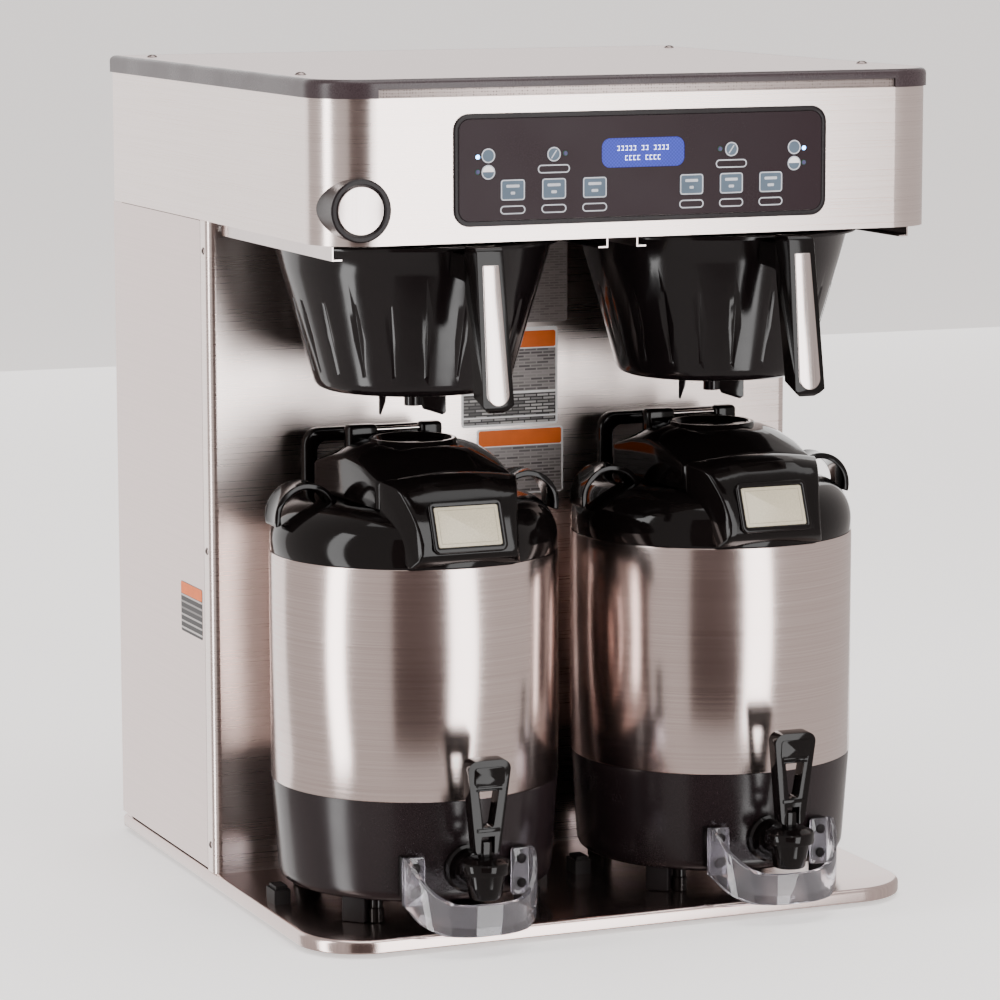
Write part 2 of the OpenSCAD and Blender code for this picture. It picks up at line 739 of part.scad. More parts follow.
round_key(key_group_x, enable_z);  // enable_key_right
round_key(batch_key_x, full_key_z);  // full_batch_key_right
round_key(batch_key_x, half_key_z);  // half_batch_key_right
funnel_shell(LEFT);  // funnel_shell_left
funnel_handle(LEFT);  // funnel_handle_left
funnel_inlay(LEFT);  // funnel_inlay_left
funnel_shell(RIGHT);  // funnel_shell_right
funnel_handle(RIGHT);  // funnel_handle_right
funnel_inlay(RIGHT);  // funnel_inlay_right
steel_body(LEFT);  // steel_body_left
base_skirt(LEFT);  // base_skirt_left
liner(LEFT);  // liner_left
collar(LEFT);  // collar_left
server_lid(LEFT);  // server_lid_left
display(LEFT);  // display_left
faucet_body(LEFT);  // faucet_body_left
faucet_handle(LEFT);  // faucet_handle_left
splash_guard(LEFT);  // splash_guard_left
steel_body(RIGHT);  // steel_body_right
base_skirt(RIGHT);  // base_skirt_right
liner(RIGHT);  // liner_right
collar(RIGHT);  // collar_right
server_lid(RIGHT);  // server_lid_right
display(RIGHT);  // display_right
faucet_body(RIGHT);  // faucet_body_right
faucet_handle(RIGHT);  // faucet_handle_right
splash_guard(RIGHT);  // splash_guard_right
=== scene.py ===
"""Looks of a twin coffee brewer: steel cabinet, slide-in funnels and insulated servers."""

from __future__ import annotations

import logging
import math
from collections.abc import Callable, Iterable
from dataclasses import dataclass
from enum import Enum

import bpy
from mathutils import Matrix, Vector


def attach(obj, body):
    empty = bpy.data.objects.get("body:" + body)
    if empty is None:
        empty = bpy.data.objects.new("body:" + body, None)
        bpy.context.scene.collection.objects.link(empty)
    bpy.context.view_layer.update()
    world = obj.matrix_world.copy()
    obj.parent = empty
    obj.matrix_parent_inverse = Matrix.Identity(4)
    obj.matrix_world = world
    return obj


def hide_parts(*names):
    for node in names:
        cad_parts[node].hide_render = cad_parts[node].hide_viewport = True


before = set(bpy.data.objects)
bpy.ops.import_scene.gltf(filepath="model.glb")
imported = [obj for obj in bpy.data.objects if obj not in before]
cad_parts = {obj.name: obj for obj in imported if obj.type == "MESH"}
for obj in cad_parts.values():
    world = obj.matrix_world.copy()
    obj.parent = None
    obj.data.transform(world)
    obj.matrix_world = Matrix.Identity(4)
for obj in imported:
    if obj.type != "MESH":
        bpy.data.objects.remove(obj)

LOG = logging.getLogger("brewer")
MM = 0.001
SIDES = {"left": -134.0, "right": 134.0}
AXIS_Y = -100.4
Point = tuple[float, float]
Test = Callable[[Vector, Vector], bool]


def linear(code: str, alpha: float = 1.0) -> tuple[float, float, float, float]:
    """Turns an sRGB hex colour to linear.

    Args:
        code: six hex digits.
        alpha: the fourth number.
    Returns:
        Linear red, green, blue and alpha.
    """
    parts = [int(code[i : i + 2], 16) / 255 for i in (0, 2, 4)]
    parts = [p / 12.92 if p <= 0.04045 else ((p + 0.055) / 1.055) ** 2.4 for p in parts]
    return parts[0], parts[1], parts[2], alpha


def add_node(tree: bpy.types.NodeTree, kind: str, settings: dict | None = None, links: dict | None = None):
    """Adds a node with its settings and links.

    Args:
        tree: the node tree it goes into.
        kind: the node's type name.
        settings: attribute names, or input names, with their values.
        links: input names with the output socket that feeds each.
    Returns:
        The node.
    """
    node = tree.nodes.new(kind)
    for key, value in (settings or {}).items():
        if hasattr(node, key) and key not in node.inputs:
            setattr(node, key, value)
        else:
            node.inputs[key].default_value = value
    for key, socket in (links or {}).items():
        tree.links.new(socket, node.inputs[key])
    return node


# ---------- Finishes ----------


@dataclass(frozen=True)
class Finish:
    """What every finish has: a name, a colour and how smooth it is."""

    name: str
    colour: str
    roughness: float = 0.4

    def material(self) -> bpy.types.Material:
        """The finish's material, made the first time it is asked for."""
        made = bpy.data.materials.get(self.name)
        if made is None:
            made = bpy.data.materials.new(self.name)
            made.use_nodes = True
            tree = made.node_tree
            shader = tree.nodes["Principled BSDF"]
            shader.inputs["Base Color"].default_value = linear(self.colour)
            shader.inputs["Roughness"].default_value = self.roughness
            place = add_node(tree, "ShaderNodeTexCoord").outputs["Object"]
            self.dress(tree, shader, place)
        return made

    def dress(self, tree: bpy.types.NodeTree, shader: bpy.types.Node, place: bpy.types.NodeSocket) -> None:
        """Adds the surface's own detail."""


@dataclass(frozen=True)
class BrushedSteel(Finish):
    """Stainless sheet or tube with a belt-ground grain, seen as fine streaks one way."""

    dark: str = "b9aca8"
    grain: tuple[float, float, float] = (5.0, 5.0, 900.0)  # streaks about 1.1 mm apart, coarser than the real grit
    anisotropy: float = 0.5
    bump: float = 0.02

    def dress(self, tree: bpy.types.NodeTree, shader: bpy.types.Node, place: bpy.types.NodeSocket) -> None:
        """Streaks in colour, roughness and a very shallow bump."""
        shader.inputs["Metallic"].default_value = 1.0
        shader.inputs["Anisotropic"].default_value = self.anisotropy
        shader.inputs["Anisotropic Rotation"].default_value = 0.25
        turn = add_node(tree, "ShaderNodeMapping", {"Scale": self.grain}, {"Vector": place})
        streak = add_node(tree, "ShaderNodeTexNoise", {"Scale": 1.0, "Detail": 5.0, "Roughness": 0.65},
            {"Vector": turn.outputs[0]})
        broad = add_node(tree, "ShaderNodeTexNoise", {"Scale": 5.0, "Detail": 2.0}, {"Vector": place})
        both = add_node(tree, "ShaderNodeMix", {"data_type": "FLOAT", "Factor": 0.15},
            {"A": streak.outputs[0], "B": broad.outputs[0]})
        tone = add_node(tree, "ShaderNodeValToRGB", links={"Fac": both.outputs[0]})
        tone.color_ramp.elements[0].position, tone.color_ramp.elements[1].position = 0.2, 0.75
        tone.color_ramp.elements[0].color, tone.color_ramp.elements[1].color = linear(self.dark), linear(self.colour)
        rough = add_node(tree, "ShaderNodeMapRange",
            {"From Min": 0.3, "From Max": 0.7, "To Min": self.roughness - 0.02,
            "To Max": self.roughness + 0.03}, {"Value": streak.outputs[0]})
        lift = add_node(tree, "ShaderNodeBump", {"Strength": self.bump, "Distance": 0.0002},
            {"Height": streak.outputs[0]})
        tree.links.new(tone.outputs[0], shader.inputs["Base Color"])
        tree.links.new(rough.outputs[0], shader.inputs["Roughness"])
        tree.links.new(lift.outputs[0], shader.inputs["Normal"])


@dataclass(frozen=True)
class MouldedGloss(Finish):
    """Injection-moulded plastic from a polished tool: a clean gloss with slow waves and a little dust."""

    wave: float = 0.08
    specular: float = 0.5

    def dress(self, tree: bpy.types.NodeTree, shader: bpy.types.Node, place: bpy.types.NodeSocket) -> None:
        """Slow waves of the moulding, and patches where handling has dulled it."""
        shader.inputs["IOR"].default_value = 1.52
        shader.inputs["Specular IOR Level"].default_value = self.specular
        waves = add_node(tree, "ShaderNodeTexNoise", {"Scale": 38.0, "Detail": 1.0}, {"Vector": place})
        dust = add_node(tree, "ShaderNodeTexNoise", {"Scale": 900.0, "Detail": 3.0}, {"Vector": place})
        patch = add_node(tree, "ShaderNodeTexNoise", {"Scale": 16.0, "Detail": 4.0}, {"Vector": place})
        mixed = add_node(tree, "ShaderNodeMix", {"data_type": "FLOAT", "Factor": 0.35},
            {"A": patch.outputs[0], "B": dust.outputs[0]})
        rough = add_node(tree, "ShaderNodeMapRange",
            {"From Min": 0.35, "From Max": 0.7, "To Min": self.roughness * 0.75,
            "To Max": self.roughness * 1.5}, {"Value": mixed.outputs[0]})
        lift = add_node(tree, "ShaderNodeBump", {"Strength": self.wave, "Distance": 0.0006},
            {"Height": waves.outputs[0]})
        tone = add_node(tree, "ShaderNodeHueSaturation", {"Color": linear(self.colour)})
        shade = add_node(tree, "ShaderNodeMapRange", {"To Min": 0.85, "To Max": 1.25},
            {"Value": dust.outputs[0]})
        tree.links.new(shade.outputs[0], tone.inputs["Value"])
        tree.links.new(tone.outputs[0], shader.inputs["Base Color"])
        tree.links.new(rough.outputs[0], shader.inputs["Roughness"])
        tree.links.new(lift.outputs[0], shader.inputs["Normal"])


@dataclass(frozen=True)
class MouldedMatt(Finish):
    """Plastic or rubber from an eroded tool: a fine even grain that scatters the light."""

    grit: float = 1400.0  # grains about 0.7 mm apart, coarser than the real texture
    depth: float = 0.15
    metallic: float = 0.0

    def dress(self, tree: bpy.types.NodeTree, shader: bpy.types.Node, place: bpy.types.NodeSocket) -> None:
        """Grain in the bump and a slight mottle in the colour."""
        shader.inputs["Metallic"].default_value = self.metallic
        shader.inputs["Specular IOR Level"].default_value = 0.2
        grain = add_node(tree, "ShaderNodeTexNoise", {"Scale": self.grit, "Detail": 2.0}, {"Vector": place})
        mottle = add_node(tree, "ShaderNodeTexNoise", {"Scale": 60.0, "Detail": 3.0}, {"Vector": place})
        shade = add_node(tree, "ShaderNodeMapRange", {"To Min": 0.8, "To Max": 1.2},
            {"Value": mottle.outputs[0]})
        tone = add_node(tree, "ShaderNodeHueSaturation", {"Color": linear(self.colour)},
            {"Value": shade.outputs[0]})
        lift = add_node(tree, "ShaderNodeBump", {"Strength": self.depth, "Distance": 0.0003},
            {"Height": grain.outputs[0]})
        tree.links.new(tone.outputs[0], shader.inputs["Base Color"])
        tree.links.new(lift.outputs[0], shader.inputs["Normal"])


@dataclass(frozen=True)
class ClearPlastic(Finish):
    """Clear cast plastic, about as dense as acrylic."""

    def dress(self, tree: bpy.types.NodeTree, shader: bpy.types.Node, place: bpy.types.NodeSocket) -> None:
        """Light goes through, with faint waves from the mould."""
        shader.inputs["IOR"].default_value = 1.49
        shader.inputs["Transmission Weight"].default_value = 0.96
        waves = add_node(tree, "ShaderNodeTexNoise", {"Scale": 70.0, "Detail": 1.0}, {"Vector": place})
        lift = add_node(tree, "ShaderNodeBump", {"Strength": 0.12, "Distance": 0.001},
            {"Height": waves.outputs[0]})
        tree.links.new(lift.outputs[0], shader.inputs["Normal"])


@dataclass(frozen=True)
class Lit(Finish):
    """A lamp or a backlit window: a coloured film that glows."""

    glow: str = "5a62c8"
    strength: float = 0.6
    cell: float = 700.0

    def dress(self, tree: bpy.types.NodeTree, shader: bpy.types.Node, place: bpy.types.NodeSocket) -> None:
        """An even glow with a faint grid of display cells."""
        shader.inputs["Specular IOR Level"].default_value = 0.12
        cells = add_node(tree, "ShaderNodeTexChecker", {"Scale": self.cell, "Color1": linear(self.glow),
            "Color2": linear(self.colour)}, {"Vector": place})
        shader.inputs["Emission Strength"].default_value = self.strength
        tree.links.new(cells.outputs[0], shader.inputs["Emission Color"])


@dataclass(frozen=True)
class PerforatedSteel(Finish):
    """Thin steel strip punched all over with small holes; the dark inside each hole is painted shade."""

    pitch: float = 420.0  # holes 2.4 mm apart

    def dress(self, tree: bpy.types.NodeTree, shader: bpy.types.Node, place: bpy.types.NodeSocket) -> None:
        """Rows of holes in grey steel, each painted dark as painted shade."""
        shader.inputs["Metallic"].default_value = 0.9
        cells = add_node(tree, "ShaderNodeTexVoronoi", {"Scale": self.pitch, "Randomness": 0.15},
            {"Vector": place})
        # The dark colour 4c4341 in each hole is painted shade of the dark space behind the strip; the holes are not
        # cut.
        hole = add_node(tree, "ShaderNodeValToRGB", links={"Fac": cells.outputs["Distance"]})
        hole.color_ramp.elements[0].position, hole.color_ramp.elements[1].position = 0.22, 0.3
        hole.color_ramp.elements[0].color, hole.color_ramp.elements[1].color = linear("4c4341"), linear(self.colour)
        tree.links.new(hole.outputs[0], shader.inputs["Base Color"])


@dataclass(frozen=True)
class PrintedLines(Finish):
    """A matt film printed with rows of small grey marks that only suggest lines of print."""

    ink: str = "c9c4c0"
    rows: float = 150.0  # rows 6.7 mm apart

    def dress(self, tree: bpy.types.NodeTree, shader: bpy.types.Node, place: bpy.types.NodeSocket) -> None:
        """Broken strokes in rows."""
        turn = add_node(tree, "ShaderNodeMapping",
            {"Scale": (1.0, 1.0, 1.0), "Rotation": (math.pi / 2, 0.0, 0.0)}, {"Vector": place})
        bricks = add_node(tree, "ShaderNodeTexBrick",
            {"Scale": self.rows, "Color1": linear(self.ink), "Color2": linear(self.colour),
            "Mortar": linear(self.colour), "Mortar Size": 0.09, "Bias": -0.1, "Brick Width": 1.7,
            "Row Height": 0.42},
            {"Vector": turn.outputs[0]})
        tree.links.new(bricks.outputs[0], shader.inputs["Base Color"])


CABINET = BrushedSteel("stainless_sheet_brushed", "eadcd7", 0.28, dark="d5c6c1")
SIDE_SHEET = BrushedSteel("stainless_side_sheet", "e0d0cc", 0.34, dark="d0bfbb", anisotropy=0.3)
TOP_SHEET = BrushedSteel("stainless_top_sheet", "d2c2bf", 0.36, dark="c4b3b0", grain=(5.0, 700.0, 5.0),
    anisotropy=0.0)
DECK_SHEET = BrushedSteel("stainless_deck", "d6c4bf", 0.2, dark="c3b1ac", grain=(5.0, 700.0, 5.0),
    anisotropy=0.0)
SERVER_TUBE = BrushedSteel("stainless_tube_brushed", "e2d2cd", 0.2, dark="c8b7b2", grain=(4.0, 4.0, 950.0),
    bump=0.03)
POLISHED = BrushedSteel("stainless_polished", "d8cdca", 0.14, dark="b9aca9", grain=(500.0, 5.0, 5.0),
    anisotropy=0.0, bump=0.01)
SCREW_STEEL = BrushedSteel("stainless_screw", "8d8280", 0.22, dark="6f6462", grain=(300.0, 300.0, 300.0),
    anisotropy=0.0, bump=0.01)
PLAIN_STEEL = BrushedSteel("galvanised_steel", "b8b2af", 0.42, dark="98918e", grain=(60.0, 60.0, 60.0),
    anisotropy=0.0)
EDGE_COAT = MouldedGloss("dark_bronze_edge", "33292c", 0.26, specular=0.3)
GLOSS_BLACK = MouldedGloss("polished_black_moulding", "0b0808", 0.08, specular=0.2)
GLOSS_SKIRT = MouldedGloss("black_skirt_moulding", "1c1517", 0.2, specular=0.34)
FUNNEL_BLACK = MouldedGloss("black_funnel_resin", "0e0a0b", 0.12, wave=0.14, specular=0.32)
DARK_TRIM = MouldedGloss("dark_trim", "150f11", 0.25, specular=0.15)
PANEL_FILM = MouldedGloss("maroon_black_panel_film", "251a1e", 0.22, wave=0.02, specular=0.08)
MATT_BLACK = MouldedMatt("matt_black_moulding", "161213", 0.55)
RUBBER = MouldedMatt("black_foot_rubber", "151313", 0.8)
KEY_CAP = MouldedMatt("slate_blue_key", "53616f", 0.5)
KEY_PRINT = MouldedMatt("pale_key_print", "bcbfc6", 0.5)
WHITE_PRINT = MouldedMatt("white_print", "eeecec", 0.5)
GREY_SCREEN = MouldedGloss("cream_display_glass", "bdb49d", 0.22, wave=0.01, specular=0.3)
SCREEN_LINE = MouldedMatt("display_border_line", "8d8776", 0.5)
BLUE_WINDOW = Lit("blue_display_window", "262e86", 0.2, glow="3a44b8", strength=0.75)
BLUE_LAMP = Lit("blue_lamp", "8cbcff", 0.3, glow="6aa8ff", strength=14.0)
DIM_LAMP = Lit("unlit_lamp", "4a4668", 0.3, glow="4a4668", strength=0.12)
PIXELS = Lit("lit_display_cells", "d9e0ff", 0.3, glow="e6eaff", strength=2.4)
VENT = PerforatedSteel("perforated_strip", "a99c98", 0.4)
CLEAR = ClearPlastic("clear_guard_plastic", "f3f0f8", 0.01)
ORANGE = MouldedMatt("orange_label_band", "d9641a", 0.45)
LABEL_GREY = PrintedLines("grey_label", "8f8886", 0.5, ink="4a4344")
LABEL_DARK = PrintedLines("dark_label", "1d1819", 0.5, ink="b3aeac")
PLATE_GREY = PrintedLines("data_plate", "7f7674", 0.35, ink="645c5a", rows=190.0)
GREEN_BOARD = MouldedMatt("green_circuit_board", "1f5a33", 0.5)
BRASS = MouldedMatt("brass_fitting", "b8934d", 0.3, metallic=1.0)
ELEMENT = MouldedMatt("heating_element_sheath", "4c4a49", 0.5, metallic=0.8)


# ---------- Bench ----------


class Part(Enum):
    """The element that a selection is made of."""

    POINT = 0
    EDGE = 1
    FACE = 2


@dataclass(frozen=True)
class Placing:
    """What a finished piece belongs to."""

    body: str
    slot: str
    finish: Finish
    stands_for: tuple[str, ...] = ()


class Bench:
    """Models one piece at a time, drawn in millimetres, the way it is done by hand."""

    @staticmethod
    def clear() -> None:
        """Leaves edit mode with nothing selected."""
        if bpy.context.object is not None and bpy.context.object.mode != "OBJECT":
            bpy.ops.object.mode_set(mode="OBJECT")
        bpy.ops.object.select_all(action="DESELECT")

    @staticmethod
    def only(obj: bpy.types.Object) -> None:
        """Makes one object the selected and active one."""
        Bench.clear()
        obj.select_set(True)
        bpy.context.view_layer.objects.active = obj

    @staticmethod
    def edit(obj: bpy.types.Object, part: Part = Part.POINT, everything: bool = True) -> None:
        """Opens an object in edit mode.

        Args:
            obj: the object.
            part: what selections are made of.
            everything: whether all is selected, or nothing.
        """
        Bench.only(obj)
        bpy.ops.object.mode_set(mode="EDIT")
        bpy.context.tool_settings.mesh_select_mode = tuple(part.value == i for i in range(3))
        bpy.ops.mesh.select_all(action="SELECT" if everything else "DESELECT")

    @staticmethod
    def pick(obj: bpy.types.Object, part: Part, test: Test) -> int:
        """Selects what passes a test of its middle and its direction, and stays in edit mode.

        Args:
            obj: the object in hand.
            part: what is selected.
            test: given the middle and the normal, or an edge's direction.
        Returns:
            How many passed.
        """
        Bench.edit(obj, part, everything=False)
        bpy.ops.object.mode_set(mode="OBJECT")
        mesh, count = obj.data, 0
        if part is Part.FACE:
            for face in mesh.polygons:
                face.select = test(face.center, face.normal)
                count += face.select
        elif part is Part.EDGE:
            for edge in mesh.edges:
                a, b = (mesh.vertices[i].co for i in edge.vertices)
                edge.select = test((a + b) / 2, (b - a).normalized())
                count += edge.select
        else:
            for point in mesh.vertices:
                point.select = test(point.co, point.normal)
                count += point.select
        bpy.ops.object.mode_set(mode="EDIT")
        return count

    @staticmethod
    def box(size: tuple[float, float, float], middle: tuple[float, float, float]) -> bpy.types.Object:
        """A block of a size about a middle."""
        Bench.clear()
        bpy.ops.mesh.primitive_cube_add(size=1.0, location=middle)
        bpy.context.object.scale = size
        bpy.ops.object.transform_apply(location=True, rotation=True, scale=True)
        return bpy.context.object

    @staticmethod
    def outline(points: Iterable[Point]) -> bpy.types.Object:
        """A flat face drawn point by point from a collapsed plane.

        Args:
            points: the corners in order.
        Returns:
            The object, lying in the XY plane.
        """
        corners = [Vector((x, y, 0.0)) for x, y in points]
        Bench.clear()
        bpy.ops.mesh.primitive_plane_add(size=0.01)
        obj = bpy.context.object
        Bench.edit(obj)
        bpy.ops.mesh.merge(type="CENTER")
        bpy.ops.transform.translate(value=corners[0])
        for before, after in zip(corners, corners[1:]):
            bpy.ops.mesh.extrude_region_move(TRANSFORM_OT_translate={"value": after - before})
        bpy.ops.mesh.select_all(action="SELECT")
        bpy.ops.mesh.edge_face_add()
        return obj

    @staticmethod
    def rounded(width: float, height: float, radius: float, segments: int = 8) -> bpy.types.Object:
        """A flat rectangle about the origin with its four corners rounded."""
        Bench.clear()
        bpy.ops.mesh.primitive_plane_add(size=1.0)
        obj = bpy.context.object
        obj.scale = (width, height, 1.0)
        bpy.ops.object.transform_apply(location=False, rotation=False, scale=True)
        if radius > 0:
            Bench.edit(obj)
            bpy.ops.mesh.bevel(offset=radius, segments=segments, affect="VERTICES")
        return obj

    @staticmethod
    def round_corners(obj: bpy.types.Object, radius: float, segments: int, test: Test) -> None:
        """Rounds the corners of a flat outline that pass a test."""
        if Bench.pick(obj, Part.POINT, test):
            bpy.ops.mesh.bevel(offset=radius, segments=segments, affect="VERTICES")

    @staticmethod
    def raise_up(obj: bpy.types.Object, height: float) -> bpy.types.Object:
        """Thickens a flat outline upwards into a closed slab."""
        Bench.edit(obj)
        bpy.ops.mesh.extrude_region_move(TRANSFORM_OT_translate={"value": (0.0, 0.0, height)})
        bpy.ops.mesh.select_all(action="SELECT")
        bpy.ops.mesh.normals_make_consistent(inside=False)
        return obj

    @staticmethod
    def turned(profile: list[Point], segments: int = 128, closed: bool = False, start_cap: bool = False,
               end_cap: bool = False) -> bpy.types.Object:
        """A shape of revolution, drawn ring by ring from a circle.

        Args:
            profile: radius and height of each ring.
            segments: points in a ring.
            closed: whether the last ring joins the first.
            start_cap: whether the first ring is filled.
            end_cap: whether the last ring is filled.
        Returns:
            The object, standing on the Z axis.
        """
        Bench.clear()
        radius, height = profile[0]
        bpy.ops.mesh.primitive_circle_add(vertices=segments, radius=radius, location=(0.0, 0.0, height),
            fill_type="NGON" if start_cap else "NOTHING")
        obj = bpy.context.object
        bpy.ops.object.transform_apply(location=True, rotation=False, scale=False)
        Bench.edit(obj, Part.EDGE)
        bpy.ops.mesh.select_all(action="SELECT")
        rings = profile[1:] + (profile[:1] if closed else [])
        for r, z in rings:
            bpy.ops.mesh.extrude_edges_move(TRANSFORM_OT_translate={"value": (0.0, 0.0, z - height)})
            bpy.ops.transform.resize(value=(r / radius, r / radius, 1.0), center_override=(0.0, 0.0, z))
            radius, height = r, z
        if end_cap:
            bpy.ops.mesh.edge_face_add()
        bpy.ops.mesh.select_all(action="SELECT")
        bpy.ops.mesh.remove_doubles(threshold=0.0005)
        bpy.ops.mesh.normals_make_consistent(inside=False)
        return obj

    @staticmethod
    def soften(obj: bpy.types.Object, width: float, segments: int = 3, angle: float = 35.0) -> None:
        """Rounds the sharp edges of a finished shape."""
        Bench.only(obj)
        bevel = obj.modifiers.new("edge", "BEVEL")
        bevel.width, bevel.segments = width, segments
        bevel.limit_method, bevel.angle_limit = "ANGLE", math.radians(angle)
        bevel.use_clamp_overlap = True
        bpy.ops.object.modifier_apply(modifier=bevel.name)

    @staticmethod
    def cut(obj: bpy.types.Object, tool: bpy.types.Object, keep_common: bool = False) -> None:
        """Cuts one shape with another, which is then thrown away."""
        Bench.only(obj)
        cutter = obj.modifiers.new("cut", "BOOLEAN")
        cutter.operation = "INTERSECT" if keep_common else "DIFFERENCE"
        cutter.solver, cutter.object = "EXACT", tool
        bpy.ops.object.modifier_apply(modifier=cutter.name)
        bpy.data.objects.remove(tool)

    @staticmethod
    def join(first: bpy.types.Object, *others: bpy.types.Object) -> bpy.types.Object:
        """Makes several shapes one object."""
        Bench.only(first)
        for other in others:
            other.select_set(True)
        bpy.ops.object.join()
        return first

    @staticmethod
    def put(obj: bpy.types.Object, x: float = 0.0, y: float = 0.0, z: float = 0.0, tilt: float = 0.0,
            spin: float = 0.0) -> bpy.types.Object:
        """Turns a shape about X, then about Z, moves it, and sets its place into its mesh.

        Args:
            obj: the shape.
            x, y, z: the move in millimetres.
            tilt: degrees about X.
            spin: degrees about Z, after the tilt.
        Returns:
            The same object.
        """
        Bench.only(obj)
        obj.rotation_euler = (math.radians(tilt), 0.0, math.radians(spin))
        obj.location = (x, y, z)
        bpy.ops.object.transform_apply(location=True, rotation=True, scale=True)
        return obj

    @staticmethod
    def hand_over(obj: bpy.types.Object, name: str, placing: Placing,
        angle: float = 32.0) -> bpy.types.Object:
        """Takes a finished shape from millimetres to its place in the machine.

        Args:
            obj: the shape, in millimetres.
            name: the piece's name.
            placing: its body, slot, finish and the nodes it stands for.
            angle: edges flatter than this are shaded smooth.
        Returns:
            The finished piece.
        """
        Bench.only(obj)
        obj.scale = (MM, MM, MM)
        bpy.ops.object.transform_apply(location=True, rotation=True, scale=True)
        bpy.ops.object.shade_smooth_by_angle(angle=math.radians(angle))
        obj.name = obj.data.name = name
        obj.data.materials.clear()
        obj.data.materials.append(placing.finish.material())
        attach(obj, placing.body)
        if placing.stands_for:
            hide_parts(*placing.stands_for)
        LOG.info("%s: %d faces, rides on %s", name, len(obj.data.polygons), placing.body)
        return obj

    @staticmethod
    def copied(obj: bpy.types.Object, dx: float) -> bpy.types.Object:
        """A second piece with its own mesh, moved sideways, still in millimetres."""
        twin = obj.copy()
        twin.data = obj.data.copy()
        bpy.context.collection.objects.link(twin)
        return Bench.put(twin, x=dx)

    @staticmethod
    def to_both(obj: bpy.types.Object, stem: str, body: str, slot: str, finish: Finish, node: str = "",
                angle: float = 32.0) -> None:
        """Hands over a shape drawn about its own axis to the left and to the right.

        Args:
            obj: the shape, about its server's axis.
            stem: the piece's name without its side.
            body: the body's name without its side.
            slot: the material slot, which is not used.
            finish: its finish.
            node: the CAD node it stands for, without its side.
            angle: edges flatter than this are shaded smooth.
        """
        Bench.put(obj, y=AXIS_Y)
        twin = Bench.copied(obj, SIDES["right"])
        Bench.put(obj, x=SIDES["left"])
        for shape, side in ((obj, "left"), (twin, "right")):
            nodes = (f"{node}_{side}",) if node else ()
            Bench.hand_over(shape, f"{stem}_{side}", Placing(f"{body}_{side}", slot, finish, nodes), angle)


def ring_of(width: float, height: float, radius: float, rim: float, thick: float) -> bpy.types.Object:
    """A flat frame with round corners.

    Args:
        width: over all.
        height: over all.
        radius: of the outer corners.
        rim: width of the frame.
        thick: height of the frame.
    Returns:
        The frame, lying in the XY plane.
    """
    obj = Bench.rounded(width, height, radius, 10)
    Bench.edit(obj, Part.FACE)
    bpy.ops.mesh.inset(thickness=rim, depth=0.0)
    bpy.ops.mesh.delete(type="FACE")
    return Bench.raise_up(obj, thick)


def arc(centre: Point, radius: float, start: float, stop: float, count: int) -> list[Point]:
    """Points along an arc, from one angle to another in degrees."""
    steps = [math.radians(start + (stop - start) * i / count) for i in range(count + 1)]
    return [(centre[0] + radius * math.cos(a), centre[1] + radius * math.sin(a)) for a in steps]


def dress_node(node: bpy.types.Object, finish: Finish) -> None:
    """Gives a carried-over node its finish."""
    node.data.materials.clear()
    node.data.materials.append(finish.material())


# ---------- Cabinet ----------


